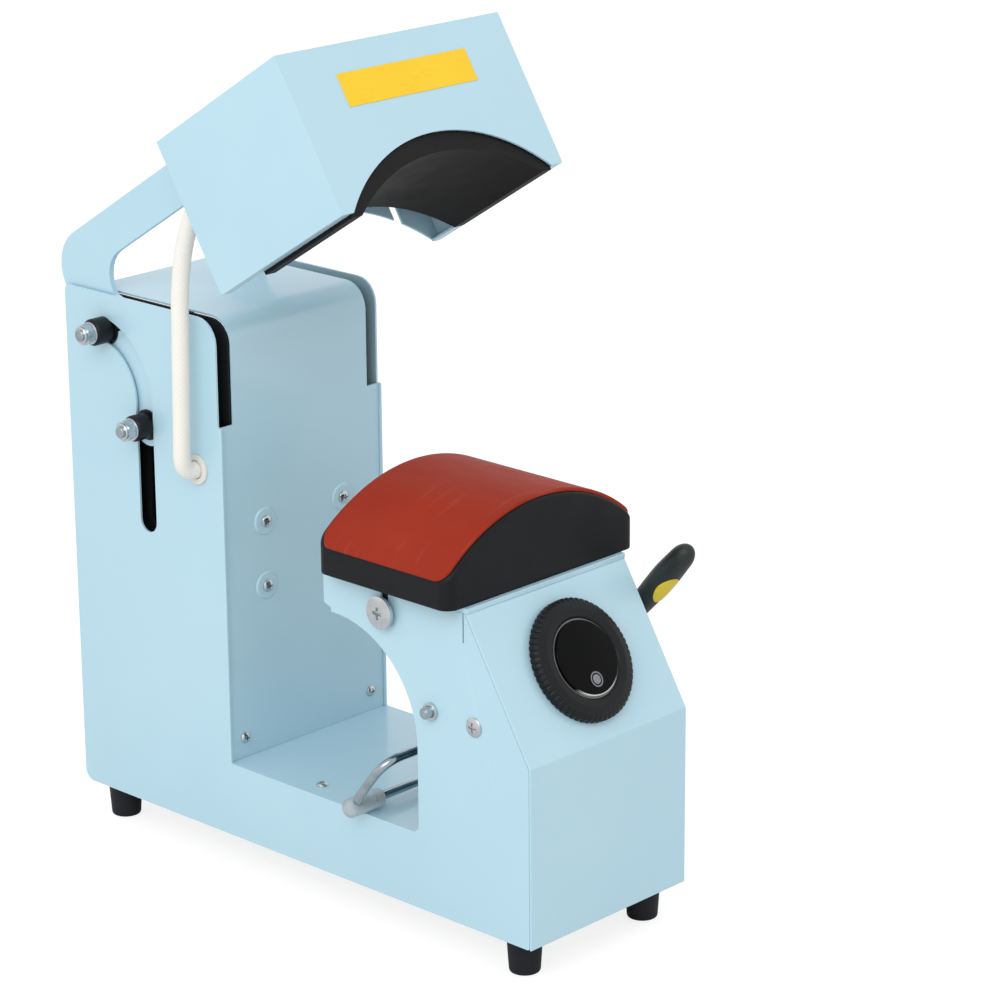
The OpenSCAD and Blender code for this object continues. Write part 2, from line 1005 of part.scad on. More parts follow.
module lever_arm() {
    color("dimgray")
        at_clamp(180 - lever_angle) {
            difference() {
                bar_x(half_w + 4, 0, 0, 20, 20);
                bar_x(half_w, 0, 0, 8.02, 40);
            }
            bar_y(lever_x, 9, 0, 9, 40);
        }
}

module lever_grip() {
    r = grip_d / 2;
    color("dimgray")
        at_clamp(180 - lever_angle)
            translate([lever_x, 0, 0])
                rotate([-90, 0, 0])
                    difference() {
                        rotate_extrude($fn = 48)
                            polygon([
                                [0, 30], [r - 3.5, 30], [r - 2.7, 31.2],
                                [r - 1.4, 50], [r - 0.3, 72], [r, 85],
                                [r - 0.4, 96],
                                for (i = [0 : 6])
                                    let(a = i * 15)
                                    [(r - 1) * cos(a),
                                        lever_len - (r - 1) * 1.5
                                            + (r - 1) * 1.5 * sin(a)]
                            ]);
                        translate([0, 0, 20])
                            cylinder(h = 29.1, d = 9.05);
                        grip_recess(0.1);
                    }
}

// The oval recess in the grip, on its lower flank.
module grip_recess(extra) {
    intersection() {
        rotate([0, 0, -109])
            translate([0, 0, 78])
                rotate([0, 90, 0])
                    linear_extrude(20)
                        scale([1, 0.5])
                            circle(r = 13.2 + extra, $fn = 48);
        difference() {
            cylinder(h = 130, d = grip_d + 4);
            translate([0, 0, -1])
                cylinder(h = 132, d = grip_d - 1.6 - 2 * extra);
        }
    }
}

module grip_inset() {
    color("gold")
        at_clamp(180 - lever_angle)
            translate([lever_x, 0, 0])
                rotate([-90, 0, 0])
                    intersection() {
                        grip_recess(0);
                        cylinder(h = 130, d = grip_d + 0.5);
                    }
}

// Guide shafts with their rollers, which run in the side panels' slots.
module guide_shaft(y, z) {
    bar_x(-shaft_out, y, z, shaft_d, 2 * shaft_out);
}

module guide_roller(y, z, d, len) {
    difference() {
        union() {
            bar_x(half_w + 0.3, y, z, d, len - 0.3);
            bar_x(arm_out + 0.3, y, z, slot_w - 0.2, half_w - arm_out);
            bar_x(arm_out + 0.3, y, z, slot_w + 5, 0.9);
        }
        bar_x(arm_out, y, z, shaft_d + 0.1, 40);
    }
}

module guide_nut(y, z, x) {
    difference() {
        union() {
            bar_x(x, y, z, 15.5, 1.2);
            translate([x + 1.2, y, z])
                rotate([0, 90, 0])
                    cylinder(h = 6.2, d = 15, $fn = 6);
            bar_x(x + 7.4, y, z, 11.5, 1.6);
        }
        bar_x(x - 1, y, z, shaft_d + 0.02, 20);
    }
}

module lower_guide_shaft() {
    color("silver")
        in_body()
            guide_shaft(slot_y, lower_z);
}

module lower_guide_rollers() {
    color("black")
        in_body()
            both_sides()
                guide_roller(slot_y, lower_z, 18, 12.4);
}

module lower_guide_nuts() {
    color("silver")
        in_body()
            both_sides()
                guide_nut(slot_y, lower_z, half_w + 12.5);
}

module upper_guide_shaft() {
    color("silver")
        in_body()
            guide_shaft(upper_y, upper_z);
}

module upper_guide_rollers() {
    color("black")
        in_body()
            both_sides()
                guide_roller(upper_y, upper_z, 18.5, 12.9);
}

module upper_guide_nuts() {
    color("silver")
        in_body()
            both_sides()
                guide_nut(upper_y, upper_z, half_w + 13);
}

module actuator_rod() {
    color("silver")
        in_body()
            difference() {
                union() {
                    translate([0, slot_y, 155])
                        cylinder(h = lower_z - 155, d = 14);
                    bar_x(-9, slot_y, lower_z, 20, 18);
                }
                bar_x(-20, slot_y, lower_z, shaft_d + 0.02, 40);
            }
}

// Arms: upright legs on the guide shafts, with beams that reach forward into the head.
module arm_outline() {
    difference() {
        union() {
            circle(r = 15);
            polygon(rounded([
                [-15, 0, 0],
                [15, 0, 0],
                [24, 58, 12],
                [24, beam_top, 28],
                [head_front + 15, beam_top, 3],
                [head_front + 15, beam_bottom, 3],
                [-20, beam_bottom, 21],
                [-20, 88, 2],
                [-27, 80, 5],
                [-27, 45, 12]
            ]));
        }
        circle(d = shaft_d + 0.2);
        shaft_clearance();
    }
}

// Opening for the upper shaft, which wanders in the arm between open and closed.
module shaft_clearance() {
    r = shaft_pitch + 1.2;
    w = shaft_d + 4.4;
    sweep = 11;
    translate([0, r])
        circle(d = w);
    rotate(sweep - 1.4)
        translate([0, r])
            circle(d = w);
    intersection() {
        difference() {
            circle(r = r + w / 2, $fn = 128);
            circle(r = r - w / 2, $fn = 128);
        }
        polygon([[0, 0], 2 * r * [0, 1],
            2 * r * [-sin(sweep - 1.4), cos(sweep - 1.4)]]);
    }
}

module arm(x) {
    color("lightblue")
        at_head()
            difference() {
                side_view(x, arm_t)
                    arm_outline();
                for (y = [head_front + 25, head_back - 20])
                    bar_x(x - 1, y, 126, 5, arm_t + 2);
            }
}

module left_arm() {
    arm(-arm_out);
}

module right_arm() {
    arm(arm_out - arm_t);
}

module head_cross_plate() {
    x = arm_out - arm_t - seam;
    color("dimgray")
        at_head()
            difference() {
                union() {
                    translate([-x, head_front + 10, beam_bottom])
                        cube([2 * x, head_len - 30, 2.5]);
                    both_sides()
                        translate([x - 2.5, head_front + 10, beam_bottom])
                            cube([2.5, head_len - 30, 24]);
                }
                for (x = [-stud_x, stud_x], y = stud_y)
                    translate([x, y, beam_bottom - 2])
                        cylinder(h = 6, d = 6.2);
                for (y = [head_front + 25, head_back - 30])
                    bar_x(-80, y, 126, 4.2, 160);
            }
}

// Head cover: a folded cover whose front and rear walls are arched over the platen.
module cover_walls() {
    front_view(head_front, sheet)
        difference() {
            translate([-head_w / 2, head_drop])
                square([head_w, head_h - sheet]);
            translate([0, head_drop + front_arch_rise - front_arch_r])
                circle(r = front_arch_r, $fn = 180);
        }
    front_view(head_back - sheet, sheet)
        difference() {
            translate([-head_w / 2, head_drop])
                square([head_w, head_h - sheet]);
            translate([0, rear_arch_z])
                circle(r = rear_arch_r, $fn = 180);
            both_sides()
                translate([wall_slot[0], head_drop - 1])
                    square([wall_slot[1] - wall_slot[0], beam_top - head_drop + 3]);
            translate([head_exit[0], head_exit[1]])
                circle(d = 17.2);
        }
}

module head_cover() {
    inner_w = head_w - 2 * sheet;
    color("lightblue")
        at_head() {
            cover_walls();
            translate([-head_w / 2, head_front, head_top - sheet])
                cube([head_w, head_len, sheet]);
            both_sides() {
                translate([inner_w / 2, head_front + sheet, head_drop])
                    cube([sheet, head_len - 2 * sheet, head_h - sheet]);
                translate([heater_w / 2 + 1, head_front + sheet, head_drop])
                    cube([inner_w / 2 - heater_w / 2, head_len - 2 * sheet, sheet]);
            }
            both_sides()
                translate([wall_slot[0] - 4.2, head_back - sheet - 16, beam_bottom + 4])
                    cube([4, 16, 22]);
        }
}

module heating_platen() {
    w = heater_w / 2;
    c = heater_arch_top - heater_r;
    color("black")
        at_head()
            difference() {
                front_view(heater_front, heater_len)
                    difference() {
                        intersection() {
                            translate([0, c])
                                circle(r = heater_r + heater_t, $fn = 180);
                            translate([-w, heater_bottom])
                                square([2 * w, 100]);
                        }
                        translate([0, c])
                            circle(r = heater_r, $fn = 180);
                    }
                for (x = [-stud_x, stud_x], y = stud_y)
                    translate([x, y, c + sqrt(pow(heater_r + 4, 2) - x * x)])
                        cylinder(h = 30, d = 6.2);
            }
}

// A curved layer that lies on the heating platen, with holes for the studs.
module heater_layer(inner_r, t, half_span) {
    c = heater_arch_top - heater_r;
    difference() {
        front_view(heater_front + 3, heater_len - 6)
            difference() {
                intersection() {
                    translate([0, c])
                        circle(r = inner_r + t, $fn = 180);
                    translate([-half_span, 0])
                        square([2 * half_span, 200]);
                }
                translate([0, c])
                    circle(r = inner_r, $fn = 180);
            }
        for (x = [-stud_x, stud_x], y = stud_y)
            translate([x, y, heater_bottom])
                cylinder(h = 100, d = 7);
    }
}

module heating_element() {
    color("sienna")
        at_head()
            heater_layer(heater_r + heater_t + seam, 2, 85);
}

module insulation_board() {
    color("white")
        at_head()
            heater_layer(heater_r + heater_t + 2 + 2 * seam, 9, 82);
}

module platen_studs() {
    c = heater_arch_top - heater_r;
    foot = c + sqrt(pow(heater_r + 4, 2) - stud_x * stud_x);
    color("silver")
        at_head()
            for (x = [-stud_x, stud_x], y = stud_y) {
                translate([x, y, foot + 1])
                    cylinder(h = beam_bottom + 10 - foot, d = 6);
                difference() {
                    translate([x, y, beam_bottom + 2.5])
                        cylinder(h = 5, d = 11, $fn = 6);
                    translate([x, y, beam_bottom])
                        cylinder(h = 10, d = 6);
                }
                difference() {
                    translate([x, y, beam_bottom - 5])
                        cylinder(h = 5, d = 11, $fn = 6);
                    translate([x, y, beam_bottom - 6])
                        cylinder(h = 10, d = 6);
                }
            }
}

module head_label() {
    color("gold")
        at_head()
            translate([-58, head_front - 0.4, head_drop + 66.5])
                cube([116, 0.4, 22.8]);
}

// Grommets and the heater cable.
module ring_grommet(bore) {
    difference() {
        union() {
            cylinder(h = 2.2, d = 21);
            translate([0, 0, -sheet - 2.2])
                cylinder(h = sheet + 3, d = 17);
            translate([0, 0, -sheet - 2.2])
                cylinder(h = 2, d = 20);
        }
        translate([0, 0, -10])
            cylinder(h = 20, d = bore);
    }
}

module cable_grommet() {
    color("ivory")
        in_body()
            translate([-half_w, cable_exit[0], cable_exit[1]])
                rotate([0, -90, 0])
                    ring_grommet(cable_d + 0.6);
}

module head_grommet() {
    color("black")
        at_head()
            translate([head_exit[0], head_back, head_exit[1]])
                rotate([-90, 0, 0])
                    ring_grommet(cable_d + 1.4);
}

module heater_cable_lower() {
    color("ivory")
        in_body()
            translate([0, column_front, 0])
                swept_tube(lower_route, cable_d / 2);
}

module heater_cable_upper() {
    color("ivory")
        in_body()
            translate([0, column_front, 0])
                swept_tube(upper_route, cable_d / 2);
}

// Fasteners of the sheets.
module pan_screw(d, len, shank) {
    difference() {
        union() {
            cylinder(h = 1.2, d = d);
            translate([0, 0, 1.2])
                cylinder(h = 1.4, d1 = d, d2 = d * 0.6);
            translate([0, 0, -len])
                cylinder(h = len + 0.5, d = shank);
        }
        translate([-d * 0.3, -0.5, 1.4])
            cube([d * 0.6, 1, 3]);
        translate([-0.5, -d * 0.3, 1.4])
            cube([1, d * 0.6, 3]);
    }
}

module column_screws() {
    color("silver")
        in_body()
            for (x = [-column_screw_x, column_screw_x], z = column_screw_z)
                translate([x, column_front - 1.2, z])
                    rotate([90, 0, 0])
                        pan_screw(8.5, 9, 4);
}

module dimple_washers() {
    color("lightblue")
        in_body()
            for (x = [-column_screw_x, column_screw_x], z = column_screw_z)
                translate([x, column_front, z])
                    rotate([90, 0, 0])
                        difference() {
                            cylinder(h = 1.2, d1 = 20, d2 = 17.6);
                            translate([0, 0, -1])
                                cylinder(h = 4, d = 4.4);
                        }
}

module body_screws() {
    color("silver")
        in_body() {
            both_sides() {
                translate([half_w, side_screw[0], side_screw[1]])
                    rotate([0, 90, 0])
                        pan_screw(13, 6, 5);
                translate([low_screw[0], column_front, low_screw[1]])
                    rotate([90, 0, 0])
                        pan_screw(8, 6, 4);
                translate([floor_screw[0], floor_screw[1], floor_h])
                    pan_screw(8, 6, 4);
            }
        }
}

left_side_panel();
right_side_panel();
column_sheet();
floor_plate();
pedestal_front();
pedestal_deck();
bottom_plate();
back_cover();
rubber_feet();
foot_screws();
inner_guide_plates();
glide_liners();
actuator_bracket();
actuator_tube();
actuator_motor();
platen_bracket();
lower_platen();
silicone_pad();
platen_clamp_screws();
dial_hub();
display_glass();
power_key();
control_board();
power_board();
power_inlet();
switch_frame();
clamp_bushings();
cable_grommet();
column_screws();
dimple_washers();
body_screws();
dial_ring();
rocker_switch();
clamp_shaft();
clamp_arms();
clamp_wire();
clamp_sleeves();
lever_arm();
lever_grip();
grip_inset();
lower_guide_shaft();
lower_guide_rollers();
lower_guide_nuts();
actuator_rod();
upper_guide_shaft();
upper_guide_rollers();
upper_guide_nuts();
left_arm();
right_arm();
head_cross_plate();
head_cover();
heating_platen();
heating_element();
insulation_board();
platen_studs();
head_label();
head_grommet();
heater_cable_lower();
heater_cable_upper();
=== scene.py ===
"""Cap heat press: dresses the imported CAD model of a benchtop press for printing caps."""

import json
import math

import bmesh
import bpy
import numpy as np
from mathutils import Matrix, Vector

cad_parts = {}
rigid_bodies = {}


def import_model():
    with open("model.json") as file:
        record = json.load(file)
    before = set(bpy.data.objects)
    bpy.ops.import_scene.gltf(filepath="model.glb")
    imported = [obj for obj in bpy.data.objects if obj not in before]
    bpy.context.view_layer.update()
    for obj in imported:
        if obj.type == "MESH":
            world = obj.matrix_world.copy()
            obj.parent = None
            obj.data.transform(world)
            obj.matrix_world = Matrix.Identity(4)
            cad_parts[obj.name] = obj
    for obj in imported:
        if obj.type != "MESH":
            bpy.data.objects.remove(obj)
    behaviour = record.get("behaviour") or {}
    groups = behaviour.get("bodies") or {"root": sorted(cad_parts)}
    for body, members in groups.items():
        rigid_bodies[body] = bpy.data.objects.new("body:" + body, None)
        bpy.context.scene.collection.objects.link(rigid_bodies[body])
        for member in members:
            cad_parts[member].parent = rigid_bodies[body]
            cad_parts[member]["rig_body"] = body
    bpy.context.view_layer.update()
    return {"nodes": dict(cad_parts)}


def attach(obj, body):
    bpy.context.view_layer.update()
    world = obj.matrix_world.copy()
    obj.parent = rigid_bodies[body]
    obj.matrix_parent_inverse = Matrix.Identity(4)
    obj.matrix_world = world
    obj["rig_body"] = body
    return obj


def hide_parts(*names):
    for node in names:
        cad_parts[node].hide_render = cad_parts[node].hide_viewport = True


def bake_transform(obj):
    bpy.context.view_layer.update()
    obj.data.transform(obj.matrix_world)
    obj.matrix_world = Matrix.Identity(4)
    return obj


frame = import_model()

# Camera
# A long lens stands to the front left of the press and looks slightly down on it.
# Its place, turn and focal length were fitted to the corners of the sheet metal.
CAMERA_PLACE = (-1.6216, -1.6580, 1.0088)
azimuth, elevation, roll = (math.radians(a) for a in (-46.54, 17.85, -0.41))


def new_object(name, data):
    """A new object at the origin that holds the data, linked into the scene."""
    made = bpy.data.objects.new(name, data)
    bpy.context.scene.collection.objects.link(made)
    return made


look_back = Vector((
    math.sin(azimuth) * math.cos(elevation),
    -math.cos(azimuth) * math.cos(elevation),
    math.sin(elevation),
))
level_right = Vector((math.cos(azimuth), math.sin(azimuth), 0))
level_up = look_back.cross(level_right)
camera_data = bpy.data.cameras.new("photo_camera")
camera_data.sensor_width = 36
camera_data.lens = 130.69
camera_data.clip_end = 50
camera = new_object("photo_camera", camera_data)
camera_right = level_right * math.cos(roll) + level_up * math.sin(roll)
camera_up = level_up * math.cos(roll) - level_right * math.sin(roll)
camera.matrix_world = Matrix.Translation(CAMERA_PLACE) @ Matrix((
    (camera_right.x, camera_up.x, look_back.x, 0),
    (camera_right.y, camera_up.y, look_back.y, 0),
    (camera_right.z, camera_up.z, look_back.z, 0),
    (0, 0, 0, 1),
))
bpy.context.scene.camera = camera

# Heater cable
# The lead to the heater runs in a cream braided glass-fibre sleeve, out of the left panel,
# up beside the guide rollers and into the head's rear wall. The real lead flexes as the head
# comes down; here it is two fixed lengths that meet at one point of the route.
CABLE_DIAMETER, CABLE_SIDES = 0.012, 28
FRONT_Y, FOOT_HEIGHT = -217.0, 25.5
GUIDE_POINT, SPAN_STEPS = 10, 8
cable_route = np.array([
    (-72, 304, 258.5), (-77, 304, 258.5), (-82, 304, 259), (-86, 304, 262), (-88.5, 303.5, 268),
    (-89, 303, 277), (-89, 302.5, 290), (-89, 302, 306), (-89, 301.5, 324), (-88.5, 301.5, 342),
    (-88, 301.5, 360), (-87.5, 301.5, 378), (-86.5, 300.5, 396), (-85.5, 298, 413),
    (-85, 294, 426), (-84.5, 289.5, 437), (-84, 284.7, 445.4), (-84, 280.1, 448.5),
    (-84, 274.2, 452.2),
])


def in_body(points):
    """Body millimetres (across, back from the front sheet, up from the underside) to the
    frame's metres: a shift to the middle of the feet on the bench, and a change of unit."""
    return (np.asarray(points, float) + (0, FRONT_Y, FOOT_HEIGHT)) / 1000


def grid_faces(rows, cols, closed_rows=False, closed_cols=False):
    """Quads between the neighbours of a grid whose points are stored row by row."""
    r = np.arange(rows if closed_rows else rows - 1)
    c = np.arange(cols if closed_cols else cols - 1)
    r, c = (a.ravel() for a in np.meshgrid(r, c, indexing="ij"))
    r2, c2 = (r + 1) % rows, (c + 1) % cols
    return np.stack([r * cols + c, r * cols + c2, r2 * cols + c2, r2 * cols + c], 1).tolist()


def clean_shell(mesh):
    """Merges doubled points, drops faces that collapsed, and turns the rest outwards."""
    shell = bmesh.new()
    shell.from_mesh(mesh)
    bmesh.ops.remove_doubles(shell, verts=shell.verts, dist=2e-7)
    bmesh.ops.dissolve_degenerate(shell, edges=shell.edges, dist=1e-8)
    bmesh.ops.recalc_face_normals(shell, faces=shell.faces)
    shell.to_mesh(mesh)
    shell.free()


def joined(name, *shells):
    """One object at the origin from shells of (points in metres, faces)."""
    points, faces, count = [], [], 0
    for shell_points, shell_faces in shells:
        flat = np.asarray(shell_points, float).reshape(-1, 3)
        points.append(flat)
        faces += [[count + i for i in face] for face in shell_faces]
        count += len(flat)
    mesh = bpy.data.meshes.new(name)
    mesh.from_pydata(np.vstack(points).tolist(), [], faces)
    clean_shell(mesh)
    return new_object(name, mesh)


def smooth_under(piece, degrees):
    """Shades smooth, with the edges sharper than an angle left crisp."""
    piece.data.shade_smooth()
    piece.data.set_sharp_from_angle(angle=math.radians(degrees))


def srgb(*levels):
    """0 to 255 screen levels to the linear colour that a shader takes."""
    v = np.array(levels, float) / 255
    return (*np.where(v <= 0.04045, v / 12.92, ((v + 0.055) / 1.055) ** 2.4).tolist(), 1.0)


def add_node(tree, kind, settings=(), **values):
    """Adds a shader node, its options, and its inputs by name (underscores for spaces)."""
    node = tree.nodes.new("ShaderNode" + kind)
    for key, value in dict(settings).items():
        setattr(node, key, value)
    for key, value in values.items():
        node.inputs[key.replace("_", " ")].default_value = value
    return node


def blank_material(name):
    """A new material, its node tree, and the Principled shader in it."""
    material = bpy.data.materials.new(name)
    material.use_nodes = True
    return material, material.node_tree, material.node_tree.nodes["Principled BSDF"]


def worked_out(tree, operation, *sources, **options):
    """The output of a Math node that takes other nodes' outputs or plain numbers."""
    node = add_node(tree, "Math", {"operation": operation, **options})
    for socket, source in zip(node.inputs, sources):
        if isinstance(source, (int, float)):
            socket.default_value = source
        else:
            tree.links.new(source, socket)
    return node.outputs[0]


def ramped(tree, value, start, end, low=0.0, high=1.0):
    """The output of a ramp: low where the value is at start, high at end, held beyond."""
    ramp = add_node(tree, "MapRange", From_Min=start, From_Max=end, To_Min=low, To_Max=high)
    tree.links.new(value, ramp.inputs["Value"])
    return ramp.outputs["Result"]


def blended(tree, share, first, second):
    """The output of a colour mix, from the first to the second. Each is an output or plain."""
    mix = add_node(tree, "Mix", {"data_type": "RGBA"})
    for label, source in (("Factor", share), ("A", first), ("B", second)):
        if isinstance(source, tuple):
            mix.inputs[label].default_value = source
        else:
            tree.links.new(source, mix.inputs[label])
    return mix.outputs["Result"]


def smooth_path(points, per_span):
    """A curve through the points: on each span p(t) is the cubic that leaves each point
    parallel to the chord between its two neighbours."""
    p = np.vstack([2 * points[0] - points[1], points, 2 * points[-1] - points[-2]])
    a, b, c, d = (p[i:len(p) - 3 + i, None] for i in range(4))
    t = np.linspace(0, 1, per_span, endpoint=False)[None, :, None]
    spans = 0.5 * (
        2 * b + (c - a) * t + (2 * a - 5 * b + 4 * c - d) * t**2 + (3 * b - a - 3 * c + d) * t**3)
    return np.vstack([spans.reshape(-1, points.shape[1]), points[-1:]])


def length_along(points):
    """Length along a line of points, from its start to each point."""
    return np.concatenate([[0], np.cumsum(np.linalg.norm(np.diff(points, axis=0), axis=1))])


def tube_shell(path, radius, sides, closed=False, lean=(0.35, 1, 0)):
    """Surface p(s, a) = path(s) + radius (cos a · side + sin a · other), where side and
    other are square to the path. Its ends are closed flat unless the path is a loop."""
    if closed:
        ahead = np.roll(path, -1, 0) - np.roll(path, 1, 0)
    else:
        ahead = np.gradient(path, axis=0)
    ahead /= np.linalg.norm(ahead, axis=1, keepdims=True)
    side = np.cross(ahead, lean)
    side /= np.linalg.norm(side, axis=1, keepdims=True)
    other = np.cross(ahead, side)
    a = np.arange(sides) * 2 * np.pi / sides
    rim = np.cos(a)[None, :, None] * side[:, None] + np.sin(a)[None, :, None] * other[:, None]
    faces = grid_faces(len(path), sides, closed_rows=closed, closed_cols=True)
    if not closed:
        last = (len(path) - 1) * sides
        faces += [list(range(sides))[::-1], list(range(last, last + sides))]
    return path[:, None] + radius * rim, faces


def map_round_and_along(piece, path, sides):
    """Writes a UV map on a tube: U turns once round it and V is its length in metres. On the
    side faces that close the turn, U ends at 1 and not at 0. The flat ends have more corners."""
    mesh = piece.data
    corners = np.empty(len(mesh.loops), np.int32)
    mesh.loops.foreach_get("vertex_index", corners)
    sizes = np.empty(len(mesh.polygons), np.int32)
    mesh.polygons.foreach_get("loop_total", sizes)
    face_of = np.repeat(np.arange(len(sizes)), sizes)
    turn = (corners % sides) / sides
    high = np.zeros(len(sizes))
    np.maximum.at(high, face_of, turn)
    turn = np.where((turn == 0) & (high[face_of] > 0.7) & (sizes[face_of] < 5), 1.0, turn)
    uv = np.stack([turn, length_along(path)[corners // sides]], 1).astype(np.float32)
    mesh.uv_layers.new(name="surface").data.foreach_set("uv", uv.ravel())


def braided_sleeve(name, colour, shaded_gap, strands_round=10, pitch=0.0038):
    """Two sets of flat strands that cross, on the tube's own UV map: the higher of the two
    waves sin(u + v) and sin(u - v), with u round the tube and v along it by the pitch. Where the
    weave is low, between the strands, the colour turns to the darker gap tint: painted shade."""
    material, tree, shader = blank_material(name)
    link = tree.links.new
    surface = add_node(tree, "UVMap", {"uv_map": "surface"})
    split = add_node(tree, "SeparateXYZ")
    link(surface.outputs["UV"], split.inputs["Vector"])
    u = worked_out(tree, "MULTIPLY", split.outputs["X"], 2 * math.pi * strands_round)
    v = worked_out(tree, "MULTIPLY", split.outputs["Y"], 2 * math.pi / pitch)
    weave = worked_out(tree, "MAXIMUM", *(
        worked_out(tree, "SINE", worked_out(tree, slant, u, v)) for slant in ("ADD", "SUBTRACT")))
    # Painted shade: the weave's hollows between strands take the darker tint.
    link(blended(tree, ramped(tree, weave, -0.7, 0.7), shaded_gap, colour), shader.inputs["Base Color"])
    bump = add_node(tree, "Bump", Strength=0.03, Distance=0.0001)
    link(weave, bump.inputs["Height"])
    link(bump.outputs["Normal"], shader.inputs["Normal"])
    shader.inputs["Roughness"].default_value = 0.45
    return material


# The second, darker tint is painted shade in the hollows of the weave.
glass_fibre = braided_sleeve("glass_fibre_sleeve", srgb(243, 240, 232), srgb(239, 236, 227))
cable_line = smooth_path(in_body(cable_route), SPAN_STEPS)
parting = GUIDE_POINT * SPAN_STEPS
for name, line, lower_body, upper_body, bend_start, bend_end, node in (
    ("heater_cable_low", cable_line[:parting + 1], "body", "lower_guide", 258.5, 360,
     "heater_cable_lower"),
    ("heater_cable_high", cable_line[parting:], "lower_guide", "head", 360, 441,
     "heater_cable_upper"),
):
    cable = joined(name, tube_shell(line, CABLE_DIAMETER / 2 - 0.0001, CABLE_SIDES))
    map_round_and_along(cable, line, CABLE_SIDES)
    smooth_under(cable, 50)
    cable.data.materials.append(glass_fibre)
    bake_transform(cable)
    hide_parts(node)

# Rubber feet
# Four black rubber cones under the corners, turned from one profile with a soft lower rim.
# A zinc screw in each one's recess holds it to the bottom plate.
FEET = [(x, y) for x in (-57.5, 57.5) for y in (22, 412)]


def rounded(corners, steps=6):
    """Outline through (x, y, radius) corners: at each, an arc that touches both sides."""
    c = np.array(corners, float)
    here, r = c[:, :2], c[:, 2]
    u, v = np.roll(here, 1, 0) - here, np.roll(here, -1, 0) - here
    u /= np.linalg.norm(u, axis=1, keepdims=True)
    v /= np.linalg.norm(v, axis=1, keepdims=True)
    half = np.arccos(np.clip((u * v).sum(1), -1, 1)) / 2
    mid = (u + v) / np.maximum(np.linalg.norm(u + v, axis=1, keepdims=True), 1e-9)
    centre = here + mid * (r / np.sin(half))[:, None]
    first = here + u * (r / np.tan(half))[:, None] - centre
    last = here + v * (r / np.tan(half))[:, None] - centre
    start = np.arctan2(first[:, 1], first[:, 0])
    turn = (np.arctan2(last[:, 1], last[:, 0]) - start + np.pi) % (2 * np.pi) - np.pi
    a = start[:, None] + turn[:, None] * np.linspace(0, 1, steps)
    arcs = centre[:, None] + r[:, None, None] * np.stack([np.cos(a), np.sin(a)], -1)
    keep = np.ones((len(c), steps), bool)
    keep[r == 0, 1:] = False
    return arcs[keep]


def turned_shell(outline, place, sides=64, reach=None):
    """Surface p(k, a) = (r cos a, r sin a, z) for the outline's closed line of (r, z) pairs
    in millimetres. reach(r, z, a) may change r round the piece; place sets it in metres."""
    r, z = outline[:, 0][:, None], outline[:, 1][:, None]
    a = (np.arange(sides) * 2 * np.pi / sides)[None]
    r = reach(r, z, a) if reach else r
    points = np.stack([r * np.cos(a), r * np.sin(a), z + 0 * a], -1)
    faces = grid_faces(len(outline), sides, closed_rows=True, closed_cols=True)
    return place(points), faces


def facing(direction, x, y, z):
    """Puts a piece's own z axis along right, left, front, back, up or down at a body point."""
    across, up, out = {
        "right": ((0, 1, 0), (0, 0, 1), (1, 0, 0)), "left": ((0, -1, 0), (0, 0, 1), (-1, 0, 0)),
        "front": ((1, 0, 0), (0, 0, 1), (0, -1, 0)), "back": ((-1, 0, 0), (0, 0, 1), (0, 1, 0)),
        "up": ((1, 0, 0), (0, 1, 0), (0, 0, 1)), "down": ((1, 0, 0), (0, -1, 0), (0, 0, -1)),
    }[direction]
    turn = np.array([across, up, out], float)
    return lambda points: in_body(points @ turn + (x, y, z))


def dress(piece, material, slot, *nodes):
    """A new piece gets its finish, rides where the nodes it stands for ride, and hides them."""
    piece.data.materials.clear()
    piece.data.materials.append(material)
    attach(piece, frame["nodes"][nodes[0]]["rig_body"])
    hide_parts(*nodes)
    return piece


def shader_group(name, inputs, outputs):
    """An empty shader group with (label, kind, default) sockets, and its two end nodes."""
    group = bpy.data.node_groups.new(name, "ShaderNodeTree")
    for side, sockets in (("INPUT", inputs), ("OUTPUT", outputs)):
        for label, kind, default in sockets:
            socket = group.interface.new_socket(
                label, in_out=side, socket_type="NodeSocket" + kind)
            if default is not None:
                socket.default_value = default
    return group, group.nodes.new("NodeGroupInput"), group.nodes.new("NodeGroupOutput")


def build_colour_drift():
    """Colour that drifts slowly between two tints over the surface."""
    group, given, result = shader_group(
        "colour_drift",
        [("Colour", "Color", (0.5, 0.5, 0.5, 1)), ("Deeper", "Color", (0.4, 0.4, 0.4, 1)),
         ("Patches per metre", "Float", 12.0), ("Amount", "Float", 0.4)],
        [("Colour", "Color", None)])
    link = group.links.new
    place = add_node(group, "TexCoord")
    cloud = add_node(group, "TexNoise", Detail=3.0, Roughness=0.55)
    link(place.outputs["Object"], cloud.inputs["Vector"])
    link(given.outputs["Patches per metre"], cloud.inputs["Scale"])
    share = worked_out(group, "MULTIPLY", ramped(group, cloud.outputs["Fac"], 0.35, 0.68),
                       given.outputs["Amount"])
    link(blended(group, share, given.outputs["Colour"], given.outputs["Deeper"]),
         result.inputs["Colour"])
    return group


def build_fine_relief():
    """Height of a sprayed or moulded skin: a fine grain over a softer swell."""
    group, given, result = shader_group(
        "fine_relief",
        [("Grains per metre", "Float", 900.0), ("Swells per metre", "Float", 150.0),
         ("Grain share", "Float", 0.5)],
        [("Height", "Float", None)])
    link = group.links.new
    place = add_node(group, "TexCoord")
    grain = add_node(group, "TexNoise", Detail=2.0, Roughness=0.6)
    swell = add_node(group, "TexNoise", Detail=1.0, Roughness=0.4)
    mix = add_node(group, "Mix", {"data_type": "FLOAT"})
    for cloud, rate in ((grain, "Grains per metre"), (swell, "Swells per metre")):
        link(place.outputs["Object"], cloud.inputs["Vector"])
        link(given.outputs[rate], cloud.inputs["Scale"])
    link(given.outputs["Grain share"], mix.inputs["Factor"])
    link(swell.outputs["Fac"], mix.inputs["A"])
    link(grain.outputs["Fac"], mix.inputs["B"])
    link(mix.outputs["Result"], result.inputs["Height"])
    return group


